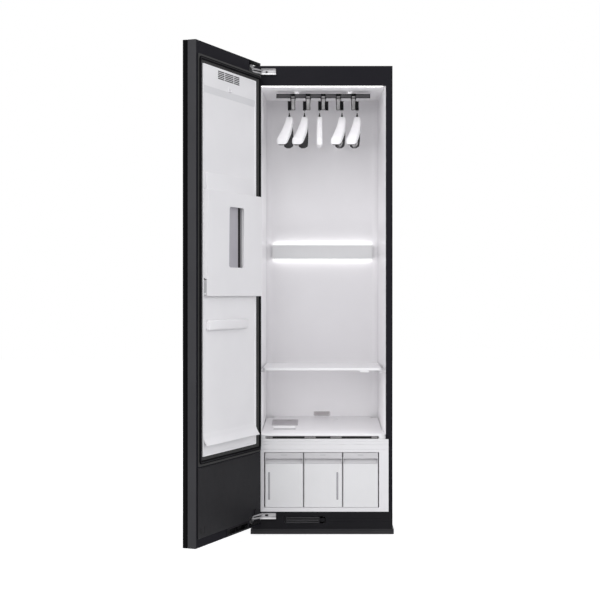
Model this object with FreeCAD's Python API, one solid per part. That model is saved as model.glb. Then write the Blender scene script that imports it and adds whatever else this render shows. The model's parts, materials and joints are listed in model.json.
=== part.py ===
"""Clothes care steam cabinet: a tall free-standing closet that steams, shakes and dries hung garments.

Millimetres. X runs to the right along the front, Y to the back, Z up. The origin lies on the floor, on the
cabinet's centre plane, under its front face. The door is drawn shut and then swung open about its hinge pin.
"""
import FreeCAD, Part
import math
import os

Vec = FreeCAD.Vector

# ---------------------------------------------------------------- driving dimensions
HEIGHT = 1960.0
CABINET_WIDTH = 589.0
BASE_WIDTH = 600.0
DEPTH = 537.0
SHEET = 1.2
MOULDING = 2.5
FIT = 0.05
SEAT_GAP = 0.3

BASE_HEIGHT = 21.0
BASE_FRONT = -8.0
STRIP_HEIGHT = 13.0
KICK_TOP = 93.0
FRAME_TOP = 397.0
FRAME_HALF_WIDTH = 278.0
FRAME_DEPTH = 16.0

OPENING_HALF_WIDTH = 267.0
OPENING_TOP = 1878.0
CHAMBER_BACK_HALF_WIDTH = 252.0
CHAMBER_DEPTH = 470.0
CHAMBER_FLOOR_FRONT = 415.0
CHAMBER_FLOOR_BACK = 452.0
FLOOR_SLOPE_START = 205.0
CHAMBER_CEILING = 1880.0
CORNER_RADIUS = 30.0

BAY_LEFT = -243.5
BAY_RIGHT = 238.0
BAY_BOTTOM = 110.0
BAY_TOP = 342.0
BAY_DEPTH = 250.0
DIVIDERS = (-78.5, 85.3)
DIVIDER_THICKNESS = 2.0
TANK_GAP = 1.0
BAY_SIDE_GAP = 3.5

DOOR_WIDTH = 600.0
DOOR_BOTTOM = 50.0
DOOR_TOP = HEIGHT
DOOR_GAP = 8.0
DOOR_PAN_DEPTH = 34.0
DOOR_NECK_DEPTH = 3.0
DOOR_NECK_INSET = 6.0
DOOR_FRONT_DEPTH = 18.0
DOOR_OPEN_ANGLE = 111.4
LINER_FREE_SIDE = 50.0
LINER_HINGE_SIDE = 536.0
LINER_RIM = 6.0
LINER_RIM_PROUD = 7.0
LINER_BOTTOM = 390.0

HINGE_PIN = Vec(-294.0, -48.0, 0.0)
HINGE_HEIGHT = 30.0
HINGE_TOP_Z = 1920.0
HINGE_BOTTOM_Z = 60.0
HINGE_PIN_RADIUS = 4.0
HINGE_KNUCKLE_RADIUS = 6.0
HINGE_EAR = 3.0

PRESS_FREE_SIDE = 57.0
PRESS_HINGE_SIDE = 558.0
PRESS_BED_HINGE_SIDE = 487.0
PRESS_BED_TOP = 1470.0
PRESS_BLOCKS = ((58.0, 74.0), (512.0, 528.0))
PRESS_WINDOW_SIDES = (246.0, 381.0)
PRESS_WINDOW_ENDS = (1109.0, 1346.0)
PRESS_BOTTOM = 996.0
PRESS_TOP = 1403.0
PRESS_PROUD = 25.0

RAIL_LENGTH = 405.0
RAIL_CENTRE_X = 4.5
RAIL_BOTTOM = 1852.0
RAIL_TOP = 1869.0
RAIL_Y = 190.0
RAIL_STROKE = 12.0
CRANK_THROW = 24.0
CRANK_PIN = 4.0
CRANK_SHAFT = 5.0
ARM_COUNT = 5
ARM_PITCH = 65.4
ARM_BOTTOM = 1800.0
HOOK_SIDES = (-1, -1, -1, 1, 1)
HOOK_OFFSET = 15.8
ARM_HALF_WIDTH = 9.5
ARM_DEPTH = 12.0
CUP_REACH = 22.0
CUP_WALL = 2.0

HANGER_HALF_LENGTH = 165.0
HANGER_NECK_TOP = 1772.0
HANGER_DROP = 102.0
HANGER_SWEEP = 23.0
HANGER_YAW = 4.5
HANGER_PITCH = 3.7
HANGER_WALL = 2.5
HANGER_COLLAR = 5.0
SLIM_HANGER = 2
HANGER_ARCH_SIDES = 4

SHELF_TOP = 694.0
SHELF_THICKNESS = 11.0
SHELF_HALF_WIDTH = 250.0

FAN_CENTRE = Vec(45.0, 350.0, 275.0)
FAN_RADIUS = 62.0
FAN_BLADES = 10

# ---------------------------------------------------------------- derived values
CABINET_HALF = CABINET_WIDTH / 2
BASE_HALF = BASE_WIDTH / 2
PANEL_INSIDE = CABINET_HALF - SHEET
HEADER_TOP = HEIGHT - SHEET
ARM_CENTRES = [RAIL_CENTRE_X + (n - (ARM_COUNT - 1) / 2) * ARM_PITCH for n in range(ARM_COUNT)]
HOOK_WIRE = 2.2
HOOK_LOOP = 12.0
HOOK_SWEEP = 250.0
HOOK_LINKS = 10
HOOK_LOOP_Z = 1807.0
PEG_RADIUS = 4.5
PEG_Z = HOOK_LOOP_Z + HOOK_LOOP - HOOK_WIRE - PEG_RADIUS - SEAT_GAP


# ---------------------------------------------------------------- shape helpers
def box(x0, x1, y0, y1, z0, z1):
    """An axis-aligned block between the given limits."""
    return Part.makeBox(x1 - x0, y1 - y0, z1 - z0, Vec(x0, y0, z0))


def prism(points, z0, z1):
    """A flat outline in X and Y, raised from z0 to z1."""
    wire = Part.makePolygon([Vec(x, y, z0) for x, y in points + points[:1]])
    return Part.Face(wire).extrude(Vec(0, 0, z1 - z0))


def prism_along_x(points, x0, x1):
    """A flat outline in Y and Z, drawn out from x0 to x1."""
    wire = Part.makePolygon([Vec(x0, y, z) for y, z in points + points[:1]])
    return Part.Face(wire).extrude(Vec(x1 - x0, 0, 0))


def rod(centre, axis, radius, length):
    """A round bar from centre along axis."""
    return Part.makeCylinder(radius, length, centre, axis)


def tapered(sections):
    """A solid through a chain of flat outlines with equally many corners, closed at both ends."""
    faces = [Part.Face(Part.makePolygon(points + points[:1])) for points in (sections[0], sections[-1])]
    for near, far in zip(sections, sections[1:]):
        for n in range(len(near)):
            m = (n + 1) % len(near)
            faces.append(Part.Face(Part.makePolygon([near[n], near[m], far[m], far[n], near[n]])))
    return Part.makeSolid(Part.makeShell(faces))


def lathed(foot, axis, profile, sides):
    """A turned form in flat facets; profile gives its radius at each distance along axis from foot."""
    across = Vec(axis.y, axis.z, axis.x)
    other = axis.cross(across)
    turns = [2 * math.pi * (n + 0.5) / sides for n in range(sides)]
    rings = []
    for reach, radius in profile:
        spokes = [(across * math.cos(a) + other * math.sin(a)) * radius for a in turns]
        rings.append([foot + axis * reach + spoke for spoke in spokes])
    return tapered(rings)


def union(shapes):
    """One solid out of shapes that touch or overlap."""
    first, *others = shapes
    joined = first.fuse(others) if others else first
    return joined.removeSplitter()


def edges_along(shape, axis, pick=lambda edge: True):
    """The straight edges that run along axis and that pick accepts."""
    found = []
    for edge in shape.Edges:
        if edge.Curve.TypeId != "Part::GeomLine":
            continue
        run = edge.Vertexes[-1].Point - edge.Vertexes[0].Point
        if run.Length > 0 and abs(abs(run.normalize().dot(axis)) - 1) < 1e-6 and pick(edge.CenterOfMass):
            found.append(edge)
    return found


def rounded_box(x0, x1, y0, y1, z0, z1, radius, axis):
    """A block whose edges along axis are rounded."""
    block = box(x0, x1, y0, y1, z0, z1)
    return block.makeFillet(radius, edges_along(block, axis))


def bevelled_box(x0, x1, y0, y1, z0, z1, size, axis):
    """A block whose edges along axis are bevelled."""
    block = box(x0, x1, y0, y1, z0, z1)
    return block.makeChamfer(size, edges_along(block, axis))


def mirrored(shape):
    """The shape's mirror image across the cabinet's centre plane."""
    return shape.mirror(Vec(0, 0, 0), Vec(1, 0, 0))


def sheet_profile(points, thickness):
    """The closed outline of a folded sheet: points on one face, with the sheet to the right of their path."""
    offsets = []
    for n, (x, y) in enumerate(points):
        normals = []
        for a, b in zip(points[max(n - 1, 0):n + 1], points[max(n - 1, 0) + 1:n + 2]):
            length = math.hypot(b[0] - a[0], b[1] - a[1])
            normals.append(((b[1] - a[1]) / length, (a[0] - b[0]) / length))
        nx = sum(v[0] for v in normals)
        ny = sum(v[1] for v in normals)
        reach = thickness * len(normals) / (nx * nx + ny * ny)
        offsets.append((x + nx * reach, y + ny * reach))
    return points + offsets[::-1]


def row(shape, count, step):
    """Copies of a shape, each moved on by step from the one before."""
    return [shape.translated(step * n) for n in range(count)]


# ---------------------------------------------------------------- cabinet shell
def side_panels():
    """Folded steel sides: outer wall, front stile and a short return into the opening."""
    outline = [
        (-OPENING_HALF_WIDTH, FRAME_DEPTH),
        (-OPENING_HALF_WIDTH, 0.0),
        (-CABINET_HALF, 0.0),
        (-CABINET_HALF, DEPTH),
    ]
    left = prism(sheet_profile(outline, SHEET), BASE_HEIGHT, HEADER_TOP)
    frame_seat = box(-FRAME_HALF_WIDTH - SHEET / 2, -200, -1, 40, 0, FRAME_TOP)
    kick_seat = box(-CABINET_HALF - 1, -200, -1, 14, 0, KICK_TOP)
    header_seat = box(-PANEL_INSIDE, -200, -1, 40, OPENING_TOP, HEIGHT)
    left = left.cut([frame_seat, kick_seat, header_seat])
    return Part.makeCompound([left, mirrored(left)])


def top_cover():
    """The flat sheet that closes the cabinet's top."""
    return box(-CABINET_HALF, CABINET_HALF, 0, DEPTH, HEADER_TOP, HEIGHT)


def back_panel():
    """The back sheet, with two banks of slots at the machine space and a cable gland."""
    panel = box(-PANEL_INSIDE, PANEL_INSIDE, DEPTH - SHEET, DEPTH, BASE_HEIGHT, HEADER_TOP)
    slot = box(0, 190, DEPTH - 3, DEPTH + 1, 0, 6)
    tools = []
    for left in (-220.0, 30.0):
        tools += row(slot.translated(Vec(left, 0, 90)), 4, Vec(0, 0, 24))
    gland_at = Vec(-245, DEPTH - 8, 60)
    gland = lathed(gland_at, Vec(0, 1, 0), ((0, 14), (12, 14)), 12)
    bore = lathed(gland_at - Vec(0, 1, 0), Vec(0, 1, 0), ((0, 6), (14, 6)), 12)
    return union([panel.cut(tools), gland]).cut(bore)


def front_header():
    """The black band over the opening: face, bottom return and back lip."""
    outline = [(0.0, HEADER_TOP), (0.0, OPENING_TOP), (FRAME_DEPTH, OPENING_TOP)]
    return prism_along_x(sheet_profile(outline, -SHEET), -PANEL_INSIDE + SEAT_GAP, PANEL_INSIDE - SEAT_GAP)


def base_pan():
    """The bottom tray with a flared front strip; its flat underside stands on the floor."""
    tray = bevelled_box(-BASE_HALF, BASE_HALF, BASE_FRONT, DEPTH, 0, BASE_HEIGHT, 5, Vec(0, 0, 1))
    groove = box(-BASE_HALF - 1, BASE_HALF + 1, BASE_FRONT - 1, -1, STRIP_HEIGHT, BASE_HEIGHT + 1)
    inside = box(-BASE_HALF + 8, BASE_HALF - 8, 4, DEPTH - 4, 4, BASE_HEIGHT + 1)
    low, high = BASE_HEIGHT - 1, BASE_HEIGHT + 1
    shelf_for_back = box(-CABINET_HALF, CABINET_HALF, DEPTH - SHEET, DEPTH + 1, low, high)
    tray = tray.makeChamfer(2, edges_along(tray, Vec(1, 0, 0), lambda p: p.y < BASE_FRONT + 1 and p.z < 1))
    return tray.cut([groove, inside, shelf_for_back])


def kick_panel():
    """The dark moulding under the tanks, with a sunk grille pocket and two long grooves."""
    shell = box(-CABINET_HALF, CABINET_HALF, 0, 14, BASE_HEIGHT, KICK_TOP)
    hollow = box(-CABINET_HALF + 3, CABINET_HALF - 3, 4, 15, BASE_HEIGHT + 3, KICK_TOP - 3)
    pocket = bevelled_box(-158, 14, -1, 5, 44, 74, 5, Vec(0, 1, 0))
    groove = box(24, 286, -1, 0.8, 0, 1.6)
    return shell.cut([hollow, pocket] + row(groove.translated(Vec(0, 0, 52)), 2, Vec(0, 0, 13.5)))


def intake_grille():
    """The louvred air intake in the kick panel: a framed slab with long ribs and a round latch at one end."""
    slab = bevelled_box(-156, -8, 1, 7, 46, 72, 3, Vec(0, 1, 0))
    slot = box(-150, -14, 0, 8, 0, 3)
    latch = rod(Vec(3, 0.4, 59), Vec(0, 1, 0), 8.5, 6.6)
    neck = box(-9, -3, 2, 6.5, 54, 64)
    thumb = box(1.8, 4.2, 0, 1.6, 52.5, 65.5)
    return union([slab.cut(row(slot.translated(Vec(0, 0, 50)), 3, Vec(0, 0, 7))), neck, latch.cut(thumb)])


def lower_frame():
    """The white surround of the tank bay, with three fine grooves along its sill."""
    body = box(-FRAME_HALF_WIDTH, FRAME_HALF_WIDTH, 0, FRAME_DEPTH, KICK_TOP, FRAME_TOP)
    body = body.makeFillet(2.5, edges_along(body, Vec(1, 0, 0), lambda p: p.y < 1 and p.z > FRAME_TOP - 1))
    window = bevelled_box(BAY_LEFT, BAY_RIGHT, -1, FRAME_DEPTH + 1, BAY_BOTTOM, BAY_TOP, 1, Vec(0, 1, 0))
    groove = box(-FRAME_HALF_WIDTH - 1, FRAME_HALF_WIDTH + 1, -1, 2.0, 0, 1.5)
    grooves = [groove.translated(Vec(0, 0, z)) for z in (353.0, 374.0, 387.0)]
    return body.cut([window] + grooves)


def tank_bay():
    """The moulded box behind the surround that houses the three tanks side by side."""
    wall = 2.0
    front, back, low, high = FRAME_DEPTH, BAY_DEPTH, BAY_BOTTOM, BAY_TOP
    outer = box(BAY_LEFT - wall, BAY_RIGHT + wall, front, back + wall, low - wall, high + wall)
    inner = box(BAY_LEFT, BAY_RIGHT, front - 1, back, low, high)
    half = DIVIDER_THICKNESS / 2
    plates = [box(x - half, x + half, front, back + 1, low - 1, high + 1) for x in DIVIDERS]
    return union([outer.cut(inner)] + plates)


def liner_wall_x(y):
    """Half width of the chamber at depth y: the side walls close in a little towards the back."""
    return OPENING_HALF_WIDTH - (OPENING_HALF_WIDTH - CHAMBER_BACK_HALF_WIDTH) * y / CHAMBER_DEPTH


def liner_walls():
    """The chamber's two side walls, each with a moulded ledge that carries the shelf."""
    front = FRAME_DEPTH + SEAT_GAP
    near, far = -liner_wall_x(front), -liner_wall_x(CHAMBER_DEPTH)
    wall = prism(
        [(near, front), (far, CHAMBER_DEPTH), (far - MOULDING, CHAMBER_DEPTH), (near - MOULDING, front)],
        400,
        CHAMBER_CEILING,
    )
    ledge_top = SHELF_TOP - SHELF_THICKNESS - SEAT_GAP
    ledge_start, ledge_end, ledge_reach = 60.0, 425.0, 243.0
    outline = [(-liner_wall_x(ledge_start) - 1, ledge_start), (-ledge_reach, ledge_start)]
    outline += [(-ledge_reach, ledge_end), (-liner_wall_x(ledge_end) - 1, ledge_end)]
    ledge = prism(outline, ledge_top - 9, ledge_top)
    left = union([wall, ledge])
    return Part.makeCompound([left, mirrored(left)])


def liner_back():
    """The chamber's back wall with hollow-rounded corners and a cut-out for the lower air grille."""
    corner_x = liner_wall_x(CHAMBER_DEPTH) - 0.1
    start_y = CHAMBER_DEPTH - CORNER_RADIUS
    start_x = liner_wall_x(start_y) - 0.1
    swing = CORNER_RADIUS * (1 - math.sqrt(0.5))

    def corner(side):
        return Part.Arc(
            Vec(side * start_x, start_y, 400),
            Vec(side * (start_x - swing), CHAMBER_DEPTH - swing, 400),
            Vec(side * (start_x - CORNER_RADIUS), CHAMBER_DEPTH, 400),
        ).toShape()

    outer = [
        Vec(-start_x, start_y, 400),
        Vec(-corner_x, CHAMBER_DEPTH + MOULDING, 400),
        Vec(corner_x, CHAMBER_DEPTH + MOULDING, 400),
        Vec(start_x, start_y, 400),
    ]
    flat = Part.makeLine(
        Vec(start_x - CORNER_RADIUS, CHAMBER_DEPTH, 400), Vec(CORNER_RADIUS - start_x, CHAMBER_DEPTH, 400)
    )
    sides = [Part.makeLine(a, b) for a, b in zip(outer, outer[1:])]
    wire = Part.Wire(Part.__sortEdges__(sides + [corner(1), flat, corner(-1)]))
    wall = Part.Face(wire).extrude(Vec(0, 0, CHAMBER_CEILING - 400))
    window = bevelled_box(-38, 36, CHAMBER_DEPTH - 1, CHAMBER_DEPTH + 9, 453.5, 473.5, 3.2, Vec(0, 1, 0))
    return wall.cut(window)


def liner_ceiling():
    """The chamber's ceiling, with two slots for the rail's carriers."""
    near, far = liner_wall_x(2) + MOULDING, liner_wall_x(CHAMBER_DEPTH) + MOULDING
    back = CHAMBER_DEPTH + MOULDING
    outline = [(-near, 2), (near, 2), (far, back), (-far, back)]
    plate = prism(outline, CHAMBER_CEILING, CHAMBER_CEILING + MOULDING)
    y0, y1 = RAIL_Y - 11, RAIL_Y + 11
    slots = [bevelled_box(x - 27, x + 27, y0, y1, 1870, 1890, 4, Vec(0, 0, 1)) for x in CARRIER_CENTRES]
    return plate.cut(slots)


def floor_z(y):
    """Height of the chamber floor's top face at depth y."""
    rise = CHAMBER_FLOOR_BACK - CHAMBER_FLOOR_FRONT
    return CHAMBER_FLOOR_FRONT + rise * max(0.0, y - FLOOR_SLOPE_START) / (CHAMBER_DEPTH - FLOOR_SLOPE_START)


FILTER_LEFT = -217.0
FILTER_RIGHT = -112.0
FILTER_FRONT = 289.0
FILTER_BACK = 387.0
FILTER_FLANGE = 5.0
FLOOR_FRONT = 12.0
FLOOR_SHEET = 3.0
AIR_STRIP_HALF = 238.0
AIR_STRIP_BOTTOM = FRAME_TOP + 1
AIR_STRIP_TOP = 408.0


def finger_dip(grow, lift):
    """The wedge of space in front of the filter, its walls grown by grow and its top lifted off the slope."""
    start, back = FLOOR_SLOPE_START, FILTER_FRONT - FILTER_FLANGE - FLOOR_SHEET + grow
    bottom = CHAMBER_FLOOR_FRONT + 0.2 - grow
    section = [(start, bottom), (back, bottom), (back, floor_z(back) + lift), (start, floor_z(start) + lift)]
    return prism_along_x(section, FILTER_LEFT + 3 - grow, FILTER_RIGHT - 3 + grow)


def chamber_floor():
    """The drip tray: level in front over a slotted lip, then a slope with filter well and steam outlet."""
    back = CHAMBER_DEPTH - 1
    front_top = floor_z(0)
    top = [(FLOOR_FRONT, front_top), (FLOOR_SLOPE_START, front_top), (back, floor_z(back))]
    near = liner_wall_x(FLOOR_FRONT) - 0.6
    sheet = prism_along_x(sheet_profile(top, FLOOR_SHEET), -near, near)
    lip = box(-near, near, FLOOR_FRONT, FLOOR_FRONT + FLOOR_SHEET, FRAME_TOP + SEAT_GAP, front_top)
    tray = union([sheet, lip])
    nose = edges_along(tray, Vec(1, 0, 0), lambda p: p.y < FLOOR_FRONT + 1 and p.z > front_top - 1)
    tray = tray.makeFillet(2.5, nose)
    tray = union([tray, finger_dip(FLOOR_SHEET, -1.0)])
    rear = liner_wall_x(back) - 3.2
    trim = prism([(-near, 0), (near, 0), (rear, back + 1), (-rear, back + 1)], 380, 470)
    corner_cuts = [box(side * 252 - 34, side * 252 + 34, 439, 480, 380, 470) for side in (-1, 1)]
    well = box(FILTER_LEFT, FILTER_RIGHT, FILTER_FRONT, FILTER_BACK, 400, 460)
    outlet = rounded_box(46, 70, 400, 410, 430, 460, 4, Vec(0, 0, 1))
    reach, low, high = AIR_STRIP_HALF, AIR_STRIP_BOTTOM, AIR_STRIP_TOP
    air_slot = bevelled_box(-reach, reach, 0, FLOOR_FRONT + 4, low, high, 4, Vec(0, 1, 0))
    return tray.common(trim).cut([well, outlet, air_slot, finger_dip(0.0, 2.0)] + corner_cuts)


def air_grilles():
    """The black vents: a long slotted strip behind the tray's lip and a small grille low on the back wall."""
    front = FLOOR_FRONT + FLOOR_SHEET + 0.4
    reach = AIR_STRIP_HALF + 4
    strip = box(-reach, reach, front, front + 3.6, AIR_STRIP_BOTTOM - 0.5, AIR_STRIP_TOP + 2)
    slot = box(0, 17, front - 1, front + 5, 399.5, 406)
    cuts = []
    for left in (-216.0, -128.0, -40.0, 76.0, 132.0):
        cuts += row(slot.translated(Vec(left, 0, 0)), 3, Vec(22, 0, 0))
    rear = bevelled_box(-37.5, 35.5, CHAMBER_DEPTH + 0.5, CHAMBER_DEPTH + 5, 454, 473, 3, Vec(0, 1, 0))
    rib_gap = box(-32, 30, CHAMBER_DEPTH, CHAMBER_DEPTH + 6, 0, 3)
    gaps = row(rib_gap.translated(Vec(0, 0, 457)), 3, Vec(0, 0, 5.2))
    return Part.makeCompound([strip.cut(cuts), rear.cut(gaps)])


# ---------------------------------------------------------------- lights
LIGHT_BAR_LEFT = -225.0
LIGHT_BAR_RIGHT = 227.0
LIGHT_BAR_BOTTOM = 1163.0
LIGHT_BAR_TOP = 1226.0


def light_bar():
    """The grey cover across the back wall that hides two lamp strips."""
    depth = 15.0
    front, back = CHAMBER_DEPTH - depth, CHAMBER_DEPTH - SEAT_GAP
    low, high = LIGHT_BAR_BOTTOM, LIGHT_BAR_TOP
    section = [(front, low), (front, high), (front + 3, high), (front + 3, high - 3), (back, high - 6)]
    section += [(back, low + 6), (front + 3, low + 3), (front + 3, low)]
    return prism_along_x(section, LIGHT_BAR_LEFT, LIGHT_BAR_RIGHT)


def lamp_strips():
    """The lamps: one behind the header, and one over and one under the light bar's cover."""
    ceiling = box(-255, 255, 20, 30, CHAMBER_CEILING - 3.5, CHAMBER_CEILING - SEAT_GAP)
    y0, y1 = CHAMBER_DEPTH - 9, CHAMBER_DEPTH - 1.5
    upper = box(LIGHT_BAR_LEFT + 3, LIGHT_BAR_RIGHT - 3, y0, y1, LIGHT_BAR_TOP - 2.2, LIGHT_BAR_TOP - 0.2)
    lower = upper.translated(Vec(0, 0, LIGHT_BAR_BOTTOM - LIGHT_BAR_TOP + 2.4))
    return Part.makeCompound([ceiling, upper, lower])


# ---------------------------------------------------------------- hanger drive
CARRIER_CENTRES = (RAIL_CENTRE_X - 115.0, RAIL_CENTRE_X + 115.0)
BAR_HALF = 5.0
BAR_Z = 1912.0
BAR_SPREAD = 18.0


def guide_bar(side, reach, half):
    """A square bar along the rail's travel, in front of or behind the rail's centre line."""
    y = RAIL_Y + side * BAR_SPREAD
    return box(RAIL_CENTRE_X - reach, RAIL_CENTRE_X + reach, y - half, y + half, BAR_Z - half, BAR_Z + half)


def hanger_rail():
    """The shaking rail: bar, two carriers through the ceiling, sliding blocks and a slotted yoke plate."""
    half = RAIL_LENGTH / 2
    left, right = RAIL_CENTRE_X - half, RAIL_CENTRE_X + half
    bar = bevelled_box(left, right, RAIL_Y - 12, RAIL_Y + 12, RAIL_BOTTOM, RAIL_TOP, 3, Vec(1, 0, 0))
    pieces = [bar]
    for x in CARRIER_CENTRES:
        neck = bevelled_box(x - 10, x + 10, RAIL_Y - 7, RAIL_Y + 7, RAIL_TOP - 1, 1900, 3, Vec(0, 0, 1))
        pieces.append(neck)
        pieces.append(box(x - 15, x + 15, RAIL_Y - 30, RAIL_Y + 30, 1899, 1925))
    pieces.append(box(CARRIER_CENTRES[0] - 15, CARRIER_CENTRES[1] + 15, RAIL_Y - 36, RAIL_Y + 30, 1925, 1929))
    rail = union(pieces)
    bores = [guide_bar(side, 300, BAR_HALF + FIT) for side in (-1, 1)]
    pin_y = RAIL_Y - CRANK_THROW
    slot_half = CRANK_PIN + 0.7
    slot = box(RAIL_CENTRE_X - slot_half, RAIL_CENTRE_X + slot_half, pin_y - 6, pin_y + 9, 1920, 1935)
    return rail.cut(bores + [slot])


def hanger_arms():
    """Five bright arms under the rail, flared where they meet it, with bevelled front edges."""
    front = RAIL_Y - ARM_DEPTH / 2
    neck = RAIL_BOTTOM - 14
    arms = []
    for x in ARM_CENTRES:
        reaches = ((ARM_HALF_WIDTH, ARM_BOTTOM), (ARM_HALF_WIDTH, neck), (ARM_HALF_WIDTH + 3.5, RAIL_BOTTOM))
        left = [Vec(x - reach, front, z) for reach, z in reaches]
        right = [Vec(2 * x - p.x, p.y, p.z) for p in reversed(left)]
        outline = left + right
        arm = Part.Face(Part.makePolygon(outline + outline[:1])).extrude(Vec(0, ARM_DEPTH, 0))
        arm = arm.makeChamfer(2, edges_along(arm, Vec(0, 1, 0), lambda p: p.z < ARM_BOTTOM + 1))
        arms.append(arm.makeChamfer(2.5, edges_along(arm, Vec(0, 0, 1), lambda p: p.y < front + 1)))
    return Part.makeCompound(arms)


def hook_cup(x, side):
    """A dark cup beside an arm: open above and below, crossed by the peg that a hook hangs on."""
    left, right = sorted((x + side * (ARM_HALF_WIDTH + FIT), x + side * CUP_REACH))
    block = box(left, right, RAIL_Y - 20, RAIL_Y + 20, ARM_BOTTOM, ARM_BOTTOM + 37)
    block = block.makeChamfer(3, edges_along(block, Vec(1, 0, 0)))
    inside = (left + CUP_WALL, right - CUP_WALL, RAIL_Y - 20 + CUP_WALL, RAIL_Y + 20 - CUP_WALL)
    well = box(*inside, ARM_BOTTOM - 1, ARM_BOTTOM + 38)
    y0, y1 = RAIL_Y - PEG_RADIUS, RAIL_Y + PEG_RADIUS
    peg = bevelled_box(left + 1, right - 1, y0, y1, PEG_Z - PEG_RADIUS, PEG_Z + PEG_RADIUS, 2.6, Vec(1, 0, 0))
    return union([block.cut(well), peg])


def hook_cups():
    """One cup on the outer side of each arm, and one more on the far side of the middle arm."""
    cups = [hook_cup(x, side) for x, side in zip(ARM_CENTRES, HOOK_SIDES)]
    middle = ARM_COUNT // 2
    return Part.makeCompound(cups + [hook_cup(ARM_CENTRES[middle], -HOOK_SIDES[middle])])


def guide_bars():
    """Two ground square bars over the ceiling with their end blocks."""
    reach = 170.0
    floor = CHAMBER_CEILING + MOULDING
    ends = (RAIL_CENTRE_X - reach, RAIL_CENTRE_X + reach)
    blocks = [box(x - 8, x + 8, RAIL_Y - 30, RAIL_Y + 30, floor, BAR_Z + 12) for x in ends]
    return union(blocks + [guide_bar(side, reach, BAR_HALF) for side in (-1, 1)])


def drive_crank():
    """The crank arm whose pin works in the rail's yoke."""
    up = Vec(0, 0, 1)
    low, high = 1932.0, 1937.0
    centre = Vec(RAIL_CENTRE_X, RAIL_Y, low)
    end = centre - Vec(0, CRANK_THROW, 0)
    web = bevelled_box(centre.x - 9, centre.x + 9, end.y - 9, centre.y + 9, low, high, 5, up)
    pin = lathed(end - up * 10, up, ((0, CRANK_PIN), (12, CRANK_PIN)), 16)
    bore = rod(centre - up, up, CRANK_SHAFT + FIT, 8)
    return union([web, pin]).cut(bore)


def drive_motor():
    """The flat gear motor under the top cover, its shaft down through the crank."""
    up = Vec(0, 0, 1)
    x, y = RAIL_CENTRE_X, RAIL_Y
    body = bevelled_box(x + 16, x + 88, y - 36, y + 36, 1939, 1956, 16, up)
    shaft = rod(Vec(x, y, 1931), up, CRANK_SHAFT, 9)
    gearbox = bevelled_box(x - 22, x + 60, y - 28, y + 28, 1939, 1954, 8, up)
    mounts = box(x - 50, x + 105, y - 10, y + 10, 1954, HEADER_TOP - SEAT_GAP)
    return union([body, gearbox, shaft, mounts])


# ---------------------------------------------------------------- hangers
def hanger_section(t, side, grow, slim, below=0.0):
    """The arched outline of a hanger wing at share t of its length, shrunk by grow and deeper by below.

    The arch is a fixed share of the width, which keeps every facet between two outlines flat.
    """
    y = RAIL_Y + side * (HANGER_HALF_LENGTH - grow) * t
    drop = HANGER_DROP * t ** 1.25
    width = (22.0 + 2 * t if slim else 28.0 + 18.0 * t) - 2 * grow
    height = 34.0 - 10.0 * t
    top = HANGER_NECK_TOP - drop - grow
    bottom = HANGER_NECK_TOP - drop - height - below
    x = 0.0 if slim else -HANGER_SWEEP * t * t
    arch = width * 0.26
    angles = [math.pi * n / HANGER_ARCH_SIDES for n in range(HANGER_ARCH_SIDES + 1)]
    points = [Vec(x + math.cos(a) * width / 2, y, top - arch + math.sin(a) * arch) for a in angles]
    return points + [Vec(x - width / 2, y, bottom), Vec(x + width / 2, y, bottom)]


def hanger_wings(grow, slim, below=0.0):
    """Both wings in one solid, each run through outlines from the neck out to its shoulder end."""
    stations = (0.0, 0.22, 0.6, 1.0)
    wings = [tapered([hanger_section(t, side, grow, slim, below) for t in stations]) for side in (-1, 1)]
    return union(wings)


def place_hanger(shape, index):
    """Hang a hanger drawn on the rail's line at its own peg, dipped a little and turned to its own angle."""
    slim = index == SLIM_HANGER
    turned = shape.copy()
    turned.rotate(Vec(0, RAIL_Y, PEG_Z), Vec(1, 0, 0), HANGER_PITCH)
    turned.rotate(Vec(0, RAIL_Y, 0), Vec(0, 0, 1), 0 if slim else -HANGER_YAW)
    turned.translate(Vec(ARM_CENTRES[index] + HOOK_SIDES[index] * HOOK_OFFSET, 0, 0))
    return turned


def hanger_shell(index):
    """The white wide-shouldered shell, open underneath."""
    slim = index == SLIM_HANGER
    stem_hole = rod(Vec(0, RAIL_Y, HANGER_NECK_TOP - 12), Vec(0, 0, 1), HANGER_COLLAR + 0.4, 20)
    shell = hanger_wings(0.0, slim).cut([hanger_wings(HANGER_WALL, slim, 4.0), stem_hole])
    return place_hanger(shell, index)


def hanger_hook():
    """The ferrule, stem and round hook, drawn from a six-sided wire."""
    up = Vec(0, 0, 1)
    foot = Vec(0, RAIL_Y, HANGER_NECK_TOP - 9)
    loop_centre = Vec(0, RAIL_Y, HOOK_LOOP_Z)
    corners = [math.pi / 3 * n for n in range(6)]

    def ring(z, radius):
        """An upright part's outline at height z."""
        return [Vec(radius * math.cos(a), RAIL_Y + radius * math.sin(a), z) for a in corners]

    def link(angle):
        """The wire's outline where the loop has turned by angle from its foot."""
        reach = [(HOOK_WIRE * math.cos(a), HOOK_LOOP + HOOK_WIRE * math.sin(a)) for a in corners]
        return [loop_centre + Vec(x, math.sin(angle) * r, -math.cos(angle) * r) for x, r in reach]

    top = HANGER_NECK_TOP
    turns = [math.radians(HOOK_SWEEP * n / HOOK_LINKS) for n in range(HOOK_LINKS + 1)]
    loop = tapered([link(angle) for angle in turns])
    stem = tapered([ring(foot.z, HOOK_WIRE), ring(loop_centre.z - HOOK_LOOP, HOOK_WIRE)])
    collar = ((foot.z, HANGER_COLLAR), (top, HANGER_COLLAR), (top + 20, HOOK_WIRE + 0.6))
    ferrule = tapered([ring(z, radius) for z, radius in collar])
    return [loop, stem, ferrule]


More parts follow.
